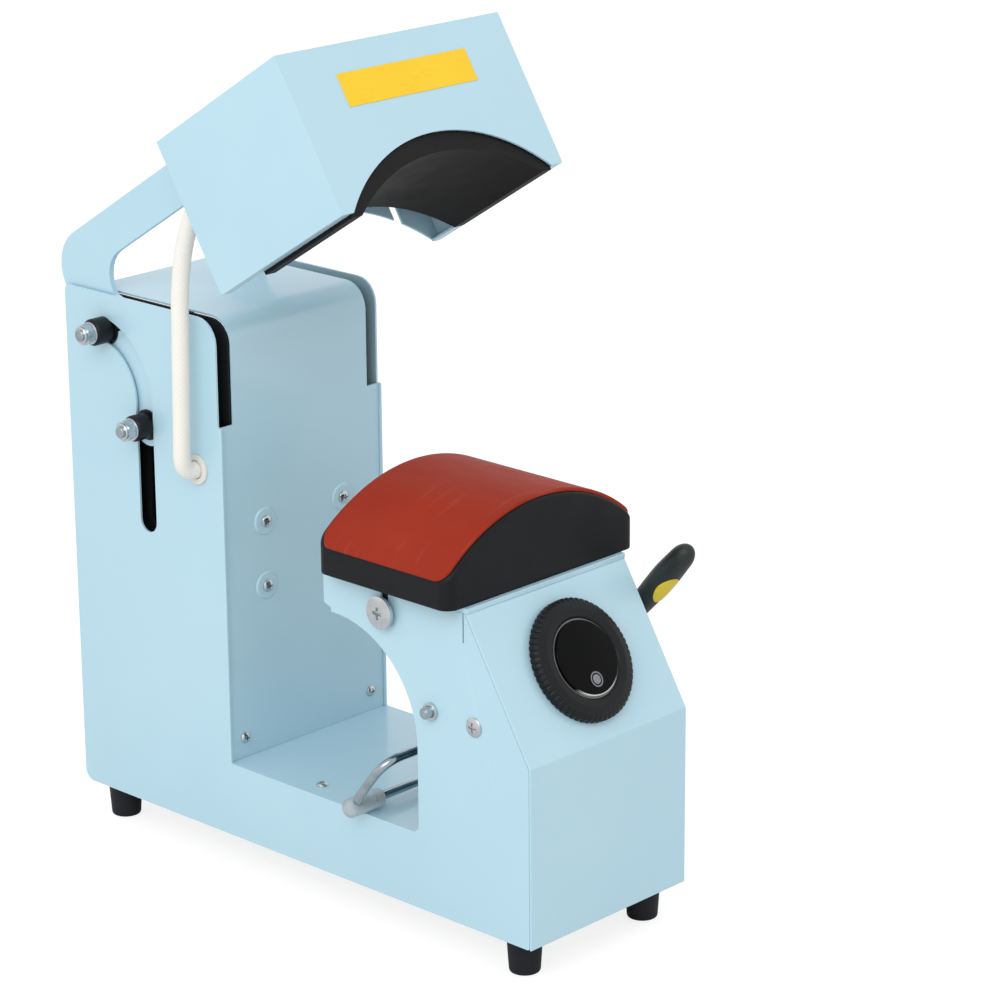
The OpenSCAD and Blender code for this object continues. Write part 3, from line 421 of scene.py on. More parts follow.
def build_handling_marks():
    """Roughness that varies a little, in streaks such as handling and wiping leave."""
    group, given, result = shader_group(
        "handling_marks",
        [("Roughness", "Float", 0.4), ("Spread", "Float", 0.1),
         ("Marks per metre", "Float", 35.0)],
        [("Roughness", "Float", None)])
    link = group.links.new
    place = add_node(group, "TexCoord")
    stretch = add_node(group, "Mapping", Scale=(1.0, 0.35, 1.6), Rotation=(0.3, 0.5, 0.9))
    cloud = add_node(group, "TexNoise", Detail=5.0, Roughness=0.65)
    link(place.outputs["Object"], stretch.inputs["Vector"])
    link(stretch.outputs["Vector"], cloud.inputs["Vector"])
    link(given.outputs["Marks per metre"], cloud.inputs["Scale"])
    spread = worked_out(group, "MULTIPLY", ramped(group, cloud.outputs["Fac"], 0.3, 0.75, -1.0),
                        given.outputs["Spread"])
    link(worked_out(group, "ADD", spread, given.outputs["Roughness"], use_clamp=True),
         result.inputs["Roughness"])
    return group


colour_drift = build_colour_drift()
fine_relief = build_fine_relief()
handling_marks = build_handling_marks()


def finish(name, colour, deeper=None, patches=12, drift=0.4, roughness=0.4, spread=0.06,
           marks=35, grains=900, swells=150, grain_share=0.5, relief=0.1, depth=0.0002, **plain):
    """A finish from the three shared groups; relief is how far the skin tilts the light, and
    plain values such as Metallic are set on the shader itself."""
    material, tree, shader = blank_material(name)
    groups = []
    for group, values in (
        (colour_drift, (colour, deeper or colour, patches, drift)),
        (handling_marks, (roughness, spread, marks)),
        (fine_relief, (grains, swells, grain_share)),
    ):
        node = tree.nodes.new("ShaderNodeGroup")
        node.node_tree = group
        for socket, value in zip(node.inputs, values):
            socket.default_value = value
        groups.append(node)
    bump = add_node(tree, "Bump", Strength=relief, Distance=depth)
    tree.links.new(groups[0].outputs["Colour"], shader.inputs["Base Color"])
    tree.links.new(groups[1].outputs["Roughness"], shader.inputs["Roughness"])
    tree.links.new(groups[2].outputs["Height"], bump.inputs["Height"])
    tree.links.new(bump.outputs["Normal"], shader.inputs["Normal"])
    for key, value in plain.items():
        shader.inputs[key.replace("_", " ")].default_value = value
    return material


foot_rubber = finish("foot_rubber", srgb(27, 30, 34), srgb(36, 38, 42), roughness=0.55,
                     grains=2500, relief=0.25, Specular_IOR_Level=0.2)
foot_outline = rounded([
    (2.5, 0, 0), (12, 0, 0.5), (10.4, -24, 1), (9.9, -FOOT_HEIGHT, 1.2), (5, -FOOT_HEIGHT, 0.5),
    (5, -15.5, 0.3), (2.5, -15.5, 0),
])
feet = joined("feet", *[turned_shell(foot_outline, facing("up", x, y, 0)) for x, y in FEET])
smooth_under(feet, 35)
dress(feet, foot_rubber, "foot_rubber", "rubber_feet")

zinc = finish("zinc_plate", srgb(205, 208, 210), srgb(170, 176, 182), patches=180, drift=0.5,
              roughness=0.24, spread=0.1, marks=220, grains=4000, relief=0.06, Metallic=1.0)
bright_steel = finish("bright_steel", srgb(176, 186, 192), srgb(120, 134, 144), patches=90,
                      drift=0.5, roughness=0.16, spread=0.06, marks=160, grains=5000,
                      relief=0.04, Metallic=1.0)


def keep_node(material, *names):
    """CAD nodes whose own shape is right stay, and only take a finish."""
    for name in names:
        mesh = frame["nodes"][name].data
        mesh.materials.clear()
        mesh.materials.append(material)


keep_node(zinc, "foot_screws")

# Painted sheet metal
# Side panels, column, floor, pedestal and back cover are cut and folded from 1.5 mm steel
# sheet and sprayed pale blue. The paint rounds every cut edge a little; the back cover keeps
# the CAD node's sharp edges.
FLAT_WITHIN = math.radians(0.8)
BROAD_FACE = 0.006
blue_paint = finish("blue_paint", srgb(184, 219, 233), srgb(176, 212, 228), patches=7,
                    drift=0.5, roughness=0.36, spread=0.05, marks=16, grains=900, swells=260,
                    grain_share=0.35, relief=0.045, depth=0.0003, Coat_Weight=0.45,
                    Coat_Roughness=0.12)


def eased(node, fold, cut, sharp=28):
    """A copy of a CAD node with its flat triangles merged into whole faces and its edges
    eased: fold millimetres where two broad faces meet, cut millimetres at thin cut edges.
    Edges sharper than some degrees are eased, and the rest is shaded smooth."""
    mesh = frame["nodes"][node].data.copy()
    shell = bmesh.new()
    shell.from_mesh(mesh)
    bmesh.ops.remove_doubles(shell, verts=shell.verts, dist=2e-6)
    bmesh.ops.dissolve_limit(
        shell, angle_limit=FLAT_WITHIN, verts=shell.verts, edges=shell.edges)
    weight = shell.edges.layers.float.new("bevel_weight_edge")
    for edge in shell.edges:
        if len(edge.link_faces) == 2 and edge.calc_face_angle(0) > math.radians(sharp):
            narrower = min(face.calc_area() / max(e.calc_length() for e in face.edges)
                           for face in edge.link_faces)
            is_fold = narrower > BROAD_FACE and edge.is_convex
            edge[weight] = 1.0 if is_fold else cut / fold
    shell.to_mesh(mesh)
    shell.free()
    piece = new_object(node + "_eased", mesh)
    smooth_under(piece, sharp)
    ease = piece.modifiers.new("ease", "BEVEL")
    ease.width = fold / 1000
    ease.segments = 3
    ease.limit_method = "WEIGHT"
    ease.harden_normals = True
    ease.miter_outer = "MITER_ARC"
    return piece


for node in ("left_side_panel", "right_side_panel", "column_sheet", "floor_plate",
             "pedestal_deck"):
    dress(eased(node, 0.45, 0.45), blue_paint, "blue_paint", node)
keep_node(blue_paint, "back_cover")
dress(eased("pedestal_front", 1.1, 0.45), blue_paint, "blue_paint", "pedestal_front")
dress(eased("dimple_washers", 0.2, 0.2), blue_paint, "blue_paint", "dimple_washers")
dress(eased("bottom_plate", 0.3, 0.3), zinc, "zinc_plate", "bottom_plate")

# Inside the body
# Black steel plates and slick liners line the column's inside and guide the arms. Their black is
# partly painted shade, so the side slots show a dark inside. The actuator, its bracket, the two
# circuit boards and the mains parts at the back fill the column and the pedestal.
black_steel = finish("black_steel", srgb(24, 25, 27), srgb(34, 35, 38), roughness=0.42,
                     grains=1400, relief=0.1, Specular_IOR_Level=0.25)
black_plastic = finish("black_plastic", srgb(18, 20, 22), srgb(26, 27, 30), patches=30,
                       roughness=0.42, grains=2600, swells=600, relief=0.18,
                       Specular_IOR_Level=0.22)
circuit = finish("circuit_board", srgb(24, 92, 56), srgb(18, 74, 46), patches=220, drift=0.8,
                 roughness=0.4, grains=1500, relief=0.12)
# The plates and liners are black partly as painted shade for the column's inside seen through the
# slots.
keep_node(black_steel, "inner_guide_plates", "glide_liners", "platen_bracket")
keep_node(zinc, "actuator_bracket", "actuator_tube")
keep_node(black_plastic, "actuator_motor")
keep_node(circuit, "control_board", "power_board")
for node, ease_by in (("power_inlet", 0.5), ("switch_frame", 0.5), ("rocker_switch", 0.4)):
    dress(eased(node, ease_by, ease_by), black_plastic, "black_plastic", node)

# Vent shade sheet
# A thin black sheet lies just behind the back cover's vents. It is painted shade, so the vents
# show a dark inside. It is cut flat and sits on the cover's inner face.
SHADE_SHEET_HALF_W, SHADE_SHEET_LOW, SHADE_SHEET_HIGH, SHADE_SHEET_FACES = 46, 145, 258, (429.4, 432.3)
shade_sheet_points = in_body([
    (side * SHADE_SHEET_HALF_W, y, z) for y in SHADE_SHEET_FACES
    for side, z in ((-1, SHADE_SHEET_LOW), (1, SHADE_SHEET_LOW), (1, SHADE_SHEET_HIGH), (-1, SHADE_SHEET_HIGH))])
vent_shade_sheet = joined("vent_shade_sheet", (shade_sheet_points, [
    [0, 1, 2, 3], [7, 6, 5, 4], [0, 4, 5, 1], [1, 5, 6, 2], [2, 6, 7, 3], [3, 7, 4, 0]]))
# Painted shade: the sheet's near-black finish stands in for the shade inside the column.
vent_shade_paint = finish("vent_shade_black", srgb(20, 20, 21), srgb(28, 28, 29), roughness=0.9, grains=1800,
              relief=0.8, depth=0.0006, Specular_IOR_Level=0.1)
vent_shade_sheet.data.materials.append(vent_shade_paint)
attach(vent_shade_sheet, "body")

# Fasteners of the body
# Zinc pan-head screws with cross recesses hold the column, the floor and the clamp's
# bushings; two larger ones with washers clamp the platen's bracket.
BODY_SIDE, COLUMN_FRONT = 75, 279.3
ZINC_HEAD = 2.6


def pan_head(radius, height, place, edge=0.35, reach=0.56):
    """Polar surface z(r, a): a dome, edge·h + (1 - edge)·h·(1 - (r/R)²)^0.8, less a cross
    recess whose arms fade out over a twentieth of the radius; below it a flat underside."""
    rows = np.concatenate([np.linspace(0, 1, 40) ** 0.8, [1.0, 0.0]])[:, None]
    a = (np.arange(120) * 2 * np.pi / 120)[None]
    x, y = rows * np.cos(a), rows * np.sin(a)
    step = lambda v: np.clip(v / 0.05, 0, 1)
    arm = lambda u, v: step(0.125 - 0.06 * np.abs(u) - np.abs(v)) * step(reach - np.abs(u))
    z = edge * height + (1 - edge) * height * (1 - rows**2) ** 0.8 + 0 * a
    z -= 0.62 * height * np.maximum(arm(x, y), arm(y, x)) * (1 - 0.5 * rows)
    z[-2:] = 0
    points = np.stack([radius * x, radius * y, z], -1)
    return place(points), grid_faces(len(rows), a.size, closed_cols=True)


def washer(inner, outer, low, high, place, ease_by=0.25):
    """A flat ring turned from a rectangle with eased corners."""
    return turned_shell(rounded([
        (inner, low, 0), (outer, low, ease_by), (outer, high, ease_by), (inner, high, 0),
    ], 4), place, 64)


column_places = [facing("front", x, COLUMN_FRONT, z) for x in (-36.5, 36.5) for z in (172, 218)]
column_heads = joined("column_screw_heads", *[pan_head(4.25, ZINC_HEAD, p) for p in column_places])
small_screws = [facing("front", x, 280.5, 67.7) for x in (-60.5, 60.5)]
small_screws += [facing("up", x, 205.2, 53) for x in (-60.2, 60.2)]
body_heads = joined("body_screw_heads", *[pan_head(4, ZINC_HEAD, p) for p in small_screws],
                    pan_head(6.5, ZINC_HEAD, facing("left", -BODY_SIDE, 48.5, 140.5)),
                    pan_head(6.5, ZINC_HEAD, facing("right", BODY_SIDE, 48.5, 140.5)))
CLAMP_SCREW = (127.5, 200)
clamp_parts = []
for side, x in (("left", -BODY_SIDE), ("right", BODY_SIDE)):
    clamp_parts += [
        washer(0, 7, 0.1, 3.6, facing(side, x, *CLAMP_SCREW)),
        pan_head(11, 4, facing(side, x + math.copysign(3.5, x), *CLAMP_SCREW), 0.6, 0.38)]
clamp_heads = joined("platen_clamp_heads", *clamp_parts)
for heads, node in ((column_heads, "column_screws"), (body_heads, "body_screws"),
                    (clamp_heads, "platen_clamp_screws")):
    smooth_under(heads, 32)
    dress(heads, zinc, "zinc_plate", node)

# Lower platen
# A black painted casting with a curved top for the crown of the cap, upright sides and
# rounded upright corners. It is screwed to the bracket through two bosses.
PLATEN_W, PLATEN_FRONT, PLATEN_LEN, PLATEN_BOTTOM = 178.0, 57.0, 119.5, 218.5
PLATEN_R, PLATEN_ARC_Z, PLATEN_CORNER = 128.01, 145.99, 9
EASE, CHAMFER, TOP_RINGS = 2.2, 0.8, 13


def outline_rings(half_w, half_len, corner, insets, per_side=56):
    """Rounded rectangles inset by each given distance. Every ring has the same points: its
    sides are divided evenly and its corners turn by equal angles."""
    inset = np.asarray(insets, float)[:, None]
    a, b = half_w - inset, half_len - inset
    r = np.minimum(np.maximum(corner - inset, 0), np.minimum(a, b))
    t = np.linspace(-1, 1, per_side)[None]
    turn = np.linspace(0, np.pi / 2, 12)[None, 1:-1]
    along_x, along_y = (a - r) * t, (b - r) * t
    x = np.hstack([along_x, a - r + r * np.sin(turn), a + 0 * along_y,
                   a - r + r * np.cos(turn), -along_x, -(a - r) - r * np.sin(turn),
                   -a + 0 * along_y, -(a - r) - r * np.cos(turn)])
    y = np.hstack([-b + 0 * along_x, -(b - r) - r * np.cos(turn), along_y,
                   b - r + r * np.sin(turn), b + 0 * along_x, b - r + r * np.cos(turn),
                   -along_y, -(b - r) - r * np.sin(turn)])
    return x, y


# Rings of points run out under the casting, up its wall, round the eased edge and in over
# the top to a line across the middle.
lip = np.linspace(0, np.pi / 2, 7)
below = np.array([PLATEN_LEN / 2, CHAMFER, 0.2])
wall = slice(len(below), len(below) + len(lip))
over = np.concatenate([
    EASE * (1 - np.cos(lip)), np.linspace(EASE, PLATEN_LEN / 2, TOP_RINGS + 1)[1:]])
x, y = outline_rings(PLATEN_W / 2, PLATEN_LEN / 2, PLATEN_CORNER,
                     np.concatenate([below, np.zeros(len(lip)), over]))
top = PLATEN_ARC_Z + np.sqrt(PLATEN_R**2 - x**2)
drop = np.concatenate([EASE * (1 - np.sin(lip)), np.zeros(TOP_RINGS)])[:, None]
wall_low = PLATEN_BOTTOM + CHAMFER
z = np.vstack([
    np.full((2, x.shape[1]), PLATEN_BOTTOM), np.full((1, x.shape[1]), PLATEN_BOTTOM + 0.2),
    wall_low + np.linspace(0, 1, len(lip))[:, None] * (top[wall] - EASE - wall_low),
    top[wall.stop:] - drop,
])
platen_middle = (0, PLATEN_FRONT + PLATEN_LEN / 2, 0)
casting = joined("lower_platen_casting", (
    in_body(np.stack([x, y, z], -1) + platen_middle), grid_faces(*x.shape, closed_cols=True)))
smooth_under(casting, 40)
black_casting = finish("black_casting", srgb(20, 21, 23), srgb(28, 29, 32), patches=26,
                       roughness=0.5, spread=0.05, grains=1500, swells=420, relief=0.2,
                       depth=0.0003, Specular_IOR_Level=0.18)
dress(casting, black_casting, "black_casting", "lower_platen")

# Silicone pad
# A sheet of red-brown silicone rubber lies on the casting's curved top. Its cut edges are
# soft, its corners are round, and use has left faint pale scuffs across the crown.
PAD_THICK, PAD_EDGE, PAD_HALF_W, PAD_HALF_LEN = 2.5, 0.9, 89.8, 56.45
PAD_MIDDLE = (0, PLATEN_FRONT + 2.6 + PAD_HALF_LEN, 0)
PAD_RINGS = 19
# The pad's rings run out along the arc below, up its cut edge and in along the arc above.
pad_inset = np.concatenate([
    [PAD_HALF_LEN, 30, 12, 4, 0.3], [0.0, 0.0], PAD_EDGE * (1 - np.cos(lip)),
    np.linspace(PAD_EDGE, PAD_HALF_LEN, PAD_RINGS + 1)[1:]])
pad_height = np.concatenate([
    np.zeros(5), [0.3, PAD_THICK - PAD_EDGE], PAD_THICK - PAD_EDGE * (1 - np.sin(lip)),
    np.full(PAD_RINGS, PAD_THICK)])[:, None]
x, y = outline_rings(PAD_HALF_W, PAD_HALF_LEN, PLATEN_CORNER, pad_inset, 72)
z = PLATEN_ARC_Z + np.sqrt((PLATEN_R + 0.1 + pad_height) ** 2 - x**2)
pad = joined("silicone_pad_sheet", (
    in_body(np.stack([x, y, z], -1) + PAD_MIDDLE), grid_faces(*x.shape, closed_cols=True)))
smooth_under(pad, 40)
silicone = finish("silicone", srgb(162, 50, 29), srgb(146, 43, 25), patches=14, drift=0.6,
                  roughness=0.56, spread=0.08, marks=30, grains=2200, swells=300,
                  grain_share=0.6, relief=0.16, depth=0.0003, Specular_IOR_Level=0.12)


def lay_over(material, mask, pale):
    """Lays a paler colour over the material's own, by a mask from 0 to 1."""
    tree = material.node_tree
    base = tree.nodes["Principled BSDF"].inputs["Base Color"]
    tree.links.new(blended(tree, mask, base.links[0].from_socket, pale), base)


def add_scuffs(material, pale, strength):
    """Pale slanting streaks: a noise drawn out along one way on the surface, of which only
    the highest ridges show, laid over the material's own colour."""
    tree = material.node_tree
    link = tree.links.new
    place = add_node(tree, "TexCoord")
    slant = add_node(tree, "Mapping", Rotation=(0, 0, 0.62), Scale=(16, 190, 30))
    streaks = add_node(tree, "TexNoise", Scale=1.0, Detail=3.0, Roughness=0.6)
    link(place.outputs["Object"], slant.inputs["Vector"])
    link(slant.outputs["Vector"], streaks.inputs["Vector"])
    ridges = ramped(tree, streaks.outputs["Fac"], 0.6, 0.78, high=strength)
    lay_over(material, ridges, pale)


add_scuffs(silicone, srgb(196, 128, 108), 0.16)
dress(pad, silicone, "silicone", "silicone_pad")

# Dial
# A black moulded ring with sixty grip grooves turns round a fixed hub. The hub holds a dark
# display glass with one touch key, printed as a grey dot in a thin ring.
SLOPE_LOW, SLOPE_HIGH, SLOPE_DEPTH = 124, 215, 54.3
SLOPE = math.atan2(SLOPE_HIGH - SLOPE_LOW, SLOPE_DEPTH)
DIAL_UP, GROOVES, GROOVE_DEPTH = 53.2, 60, 0.75
GLASS_R, GLASS_LOW, GLASS_TOP, KEY_DOWN, KEY_TOP = 25.5, 5.9, 9.2, 15, 9.6


def turned_about(points, angle, centre):
    """Turns body points about an X axis through centre (y, z) by the right-hand rule."""
    y, z = points[..., 1], points[..., 2]
    c, s = math.cos(angle), math.sin(angle)
    return np.stack([points[..., 0], centre[0] + y * c - z * s, centre[1] + y * s + z * c], -1)


def on_slope(points):
    """The sloped face's millimetres (across, up from the dial's middle, out) to metres."""
    return in_body(
        turned_about(np.asarray(points, float) + (0, DIAL_UP, 0), SLOPE, (0, SLOPE_LOW)))


def grooved(r, z, a):
    """Radius of the ring, r - depth · max(0, cos(grooves · a))^1.5: round grooves that cut
    its outer wall and fade out on the top, 38 mm from its middle."""
    depth = np.clip((r - 38) / 1.5, 0, 1) * GROOVE_DEPTH
    return r - depth * np.clip(np.cos(GROOVES * a), 0, 1) ** 1.5


grip_ring = joined("dial_grip_ring", turned_shell(rounded([
    (27.1, 0.6, 0), (41.5, 0.6, 0.4), (41.5, 5.4, 0.8), (39.1, 7.8, 1.2), (33.1, 9, 3),
    (28.3, 8.5, 0.6), (27.1, 7.4, 0.3)], 7), on_slope, 16 * GROOVES, grooved))
hub = joined("dial_fixed_hub", turned_shell(rounded([
    (25.62, GLASS_LOW, 0), (25.62, 7.5, 0.2), (27, 7.5, 0.35), (27, -24, 0.4),
    (24, -24, 0.4), (24, 4.5, 0), (0, 4.5, 0), (0, GLASS_LOW, 0)], 5), on_slope, 128))
glass = joined("display_window", turned_shell(rounded([
    (0, GLASS_LOW, 0), (GLASS_R, GLASS_LOW, 0.1), (GLASS_R, GLASS_TOP, 0.7),
    (0, GLASS_TOP, 0)], 6), on_slope, 128))
key = joined("touch_key", turned_shell(rounded([
    (0, GLASS_TOP, 0), (5.8, GLASS_TOP, 0), (5.8, KEY_TOP, 0.15), (0, KEY_TOP, 0)], 4),
    lambda points: on_slope(points - (0, KEY_DOWN, 0)), 64))
gloss_plastic = finish("gloss_black_rim", srgb(40, 41, 43), srgb(50, 51, 53), roughness=0.12,
                       spread=0.03, grains=3000, relief=0.03, Specular_IOR_Level=1.0,
                       Coat_Weight=1.0)
display = finish("display_glass", srgb(5, 6, 7), srgb(8, 8, 10), patches=40, drift=0.5,
                 roughness=0.12, spread=0.03, grains=60, swells=20, relief=0.01,
                 Specular_IOR_Level=0.08)


def distance_from(tree, point):
    """Outputs for the surface's own point, and for its distance from a point on the slope."""
    place = add_node(tree, "TexCoord").outputs["Object"]
    apart = add_node(tree, "VectorMath", {"operation": "DISTANCE"})
    apart.inputs[1].default_value = on_slope(point).tolist()
    tree.links.new(place, apart.inputs[0])
    return place, apart.outputs["Value"]


def printed_key(name, dark, light, blur=0.0001):
    """Grey print on the key: a dot of 3.2 mm and a ring from 4.3 to 5.1 mm, drawn by the
    distance from the key's middle, with the ink slightly speckled."""
    material, tree, shader = blank_material(name)
    place, apart = distance_from(tree, (0, -KEY_DOWN, KEY_TOP))
    dot, ring = (
        worked_out(tree, "MULTIPLY", ramped(tree, apart, low - blur, low + blur),
                   ramped(tree, apart, high + blur, high - blur))
        for low, high in ((-1.0, 0.0032), (0.0043, 0.0051)))
    speck = add_node(tree, "TexNoise", Scale=1400.0, Detail=2.0)
    tree.links.new(place, speck.inputs["Vector"])
    ink = worked_out(tree, "MULTIPLY", worked_out(tree, "MAXIMUM", dot, ring),
                     ramped(tree, speck.outputs["Fac"], 0.3, 0.7, low=0.75))
    tree.links.new(blended(tree, ink, dark, light), shader.inputs["Base Color"])
    shader.inputs["Roughness"].default_value = 0.22
    shader.inputs["Specular IOR Level"].default_value = 0.15
    return material


def add_painted_rim_reflection(material, pale):
    """A painted reflection: a pale crescent laid into the colour of the glass's rim, where a point
    lies more than 24.6 mm from the middle of the glass and low enough for its rim to mirror the
    bench."""
    tree = material.node_tree
    place, apart = distance_from(tree, (0, 0, GLASS_TOP))
    split = add_node(tree, "SeparateXYZ")
    tree.links.new(place, split.inputs["Vector"])
    lowest = float(on_slope((0, -GLASS_R, GLASS_TOP))[2])
    rim = ramped(tree, apart, 0.0246, 0.0249)
    low = ramped(tree, split.outputs["Z"], lowest + 0.0075, lowest + 0.003)
    lay_over(material, worked_out(tree, "MULTIPLY", rim, low), pale)


# The glass's lower rim gets a painted reflection of the bright bench: a pale crescent in its
# colour.
add_painted_rim_reflection(display, srgb(214, 216, 216))
key_print = printed_key("key_print", srgb(11, 12, 14), srgb(142, 145, 150))
for piece, material, slot, node in (
    (grip_ring, black_plastic, "black_plastic", "dial_ring"),
    (hub, gloss_plastic, "black_plastic", "dial_hub"),
    (glass, display, "display", "display_glass"),
    (key, key_print, "display", "power_key"),
):
    smooth_under(piece, 35)
    dress(piece, material, slot, node)

# Hat clamp
# A steel shaft runs through the pedestal in two bushings. Two flat arms carry a bent wire
# loop with soft clear sleeves at its corners, and the lever on the right swings it up.
CLAMP_AT = (86.5, 141.7)
LOOP_TURN, LEVER_TURN = math.radians(-52), math.radians(180 - 48.8)
NEAR_BAR, FAR_BAR, LOOP_HALF_W, LOOP_BEND = 52, 103.5, 87, 14


def in_clamp(angle):
    """The clamp's millimetres (across, along, square to both), turned about its shaft."""
    return lambda points: in_body(turned_about(np.asarray(points, float), angle, CLAMP_AT))


bushing = rounded([
    (4.05, -4, 0), (6.5, -4, 0.3), (6.5, -1.6, 0.2), (5, -1.6, 0), (5, 0, 0), (6, 0, 0),
    (6, 2.6, 0.5), (4.05, 2.6, 0.3)], 5)
bushings = joined("clamp_bearings",
                  turned_shell(bushing, facing("left", -BODY_SIDE, *CLAMP_AT), 64),
                  turned_shell(bushing, facing("right", BODY_SIDE, *CLAMP_AT), 64))
axle = joined("clamp_axle", turned_shell(rounded([
    (0, -83, 0), (3, -83, 0.6), (3, -82, 0.3), (4, -82, 0.3), (4, 100, 0.7), (0, 100, 0)], 5),
    facing("right", 0, *CLAMP_AT), 48))
loop_plan = rounded([
    (-LOOP_HALF_W, NEAR_BAR, LOOP_BEND), (LOOP_HALF_W, NEAR_BAR, LOOP_BEND),
    (LOOP_HALF_W, FAR_BAR, LOOP_BEND), (-LOOP_HALF_W, FAR_BAR, LOOP_BEND)], 18)
loop_line = np.column_stack([loop_plan, np.zeros(len(loop_plan))])
wire_points, wire_faces = tube_shell(loop_line, 3.0, 24, closed=True, lean=(0, 0, 1))
wire = joined("clamp_wire_loop", (in_clamp(LOOP_TURN)(wire_points), wire_faces))


def on_far_bar(side):
    """A piece turned about the loop's far bar, with its own z axis out along the bar."""
    place = in_clamp(LOOP_TURN)
    return lambda p: place(np.stack([side * p[..., 2], FAR_BAR + p[..., 0], p[..., 1]], -1))


sleeve = rounded([(3.05, 60.3, 0.3), (6.5, 60, 1.2), (6.5, 91.5, 4.5), (0, 91.5, 0),
                  (0, 90.3, 0), (3.05, 90.3, 0)], 9)
sleeves = joined("clamp_corner_sleeves", turned_shell(sleeve, on_far_bar(-1), 48),
                 turned_shell(sleeve, on_far_bar(1), 48))
clear_sleeve = finish("clear_sleeve", srgb(224, 232, 236), srgb(208, 218, 224), patches=60,
                      roughness=0.3, grains=1600, relief=0.06, Transmission_Weight=0.6,
                      IOR=1.2)
for piece, angle, material, slot, node in (
    (bushings, 35, zinc, "zinc_plate", "clamp_bushings"),
    (axle, 35, bright_steel, "bright_steel", "clamp_shaft"),
    (wire, 50, bright_steel, "bright_steel", "clamp_wire"),
    (sleeves, 35, clear_sleeve, "clear_sleeve", "clamp_sleeves"),
):
    smooth_under(piece, angle)
    dress(piece, material, slot, node)
dress(eased("clamp_arms", 0.35, 0.35), zinc, "zinc_plate", "clamp_arms")

# Lever
# A dark grey moulded grip is pushed on a steel rod that screws into a boss on the shaft.
# A yellow oval is let into the grip's lower side.
LEVER_X = 90.5
GRIP_R, TIP_R, TIP_START, TIP_LEN = 9.2, 8.2, 102.0, 13


def on_lever(points):
    """The lever's millimetres, with z out along the rod, to metres."""
    return in_clamp(LEVER_TURN)(
        np.stack([LEVER_X + points[..., 0], points[..., 2], -points[..., 1]], -1))


boss = turned_shell(rounded([
    (4.01, 4, 0.3), (10, 4, 0.8), (10, 24, 0.8), (4.01, 24, 0.3)], 6),
    facing("right", BODY_SIDE, *CLAMP_AT), 64)
rod = turned_shell(rounded([(0, 9, 0), (4.5, 9, 0), (4.5, 49, 0.3), (0, 49, 0)], 4), on_lever, 48)
lever_parts = joined("lever_boss_and_rod", boss, rod)
# The grip's outline: a bore on the rod, a side that swells towards the hand, an oval tip.
side_line = smooth_path(np.array([
    (5.6, 30.0), (6.2, 30.4), (6.5, 31.4), (7.1, 40), (7.75, 50), (8.3, 60), (8.8, 70),
    (9.15, 80), (9.15, 86), (8.8, 93), (8.5, 98)]), 5)
tip_turn = np.linspace(0.12, np.pi / 2, 14)
tip = np.stack([TIP_R * np.cos(tip_turn), TIP_START + TIP_LEN * np.sin(tip_turn)], 1)
grip = joined("lever_hand_grip", turned_shell(np.vstack([
    [(0, 49.1), (4.6, 49.1), (4.6, 30.0)], side_line, tip]), on_lever, 72))
OVAL_TOP, OVAL_BOTTOM, OVAL_HALF_W, OVAL_HALF_LEN = 9.4, 8.7, 6.6, 13.2
OVAL_FACES, OVAL_AT = math.radians(-109), 78
# The oval bends round the grip: rho runs from its middle to its rim, phi round it.
rho = np.concatenate([np.linspace(0, 1, 14), [1.0, 0.0]])[:, None]
phi = (np.arange(64) * 2 * np.pi / 64)[None]
lift = OVAL_TOP - 0.2 * np.clip((rho - 0.85) / 0.15, 0, 1) ** 2 + 0 * phi
lift[-2:] = OVAL_BOTTOM
swing = OVAL_FACES + np.arcsin(OVAL_HALF_W * rho * np.sin(phi) / GRIP_R)
oval_points = np.stack([
    lift * np.cos(swing), lift * np.sin(swing), OVAL_AT - OVAL_HALF_LEN * rho * np.cos(phi)], -1)
oval = joined("lever_oval", (
    on_lever(oval_points), grid_faces(len(rho), phi.size, closed_cols=True)))
lever_grey = finish("lever_grey", srgb(40, 45, 44), srgb(48, 52, 51), patches=30,
                    roughness=0.42, grains=2400, relief=0.12, Specular_IOR_Level=0.3)
yellow = finish("yellow_trim", srgb(222, 196, 48), srgb(208, 182, 42), patches=40,
                roughness=0.4, grains=1800, relief=0.08)
for piece, material, slot, node in (
    (lever_parts, black_steel, "black_steel", "lever_arm"),
    (grip, lever_grey, "black_plastic", "lever_grip"),
    (oval, yellow, "yellow_trim", "grip_inset"),
):
    smooth_under(piece, 38)
    dress(piece, material, slot, node)

# Guide shafts
# Two steel shafts cross the column. Black rollers on their ends run in the panels' slots,
# and a washer and a chamfered hex nut hold each one on. Their places (back, up) are those
# of the lifted head.
SHAFTS = {"lower": (355.5, 278.77), "upper": (393.34, 339.32)}


def hexagonal(flats, crown, low, high, chamfer=0.7):
    """Radius of a chamfered nut between two heights: the smaller of the hexagon and the
    crown's cones. Outside them the outline's own radius stands."""
    def reach(r, z, a):
        sixth = (a + np.pi / 6) % (np.pi / 3) - np.pi / 6
        near_end = np.maximum((low + chamfer - z) / chamfer, (z - high + chamfer) / chamfer)
        cone = crown - 0.9 * np.clip(near_end, 0, 1)
        inside = np.minimum(flats / 2 / np.cos(sixth), cone)
        return np.where((r > 6.5) & (z < high + 0.05), inside, r + 0 * a)
    return reach


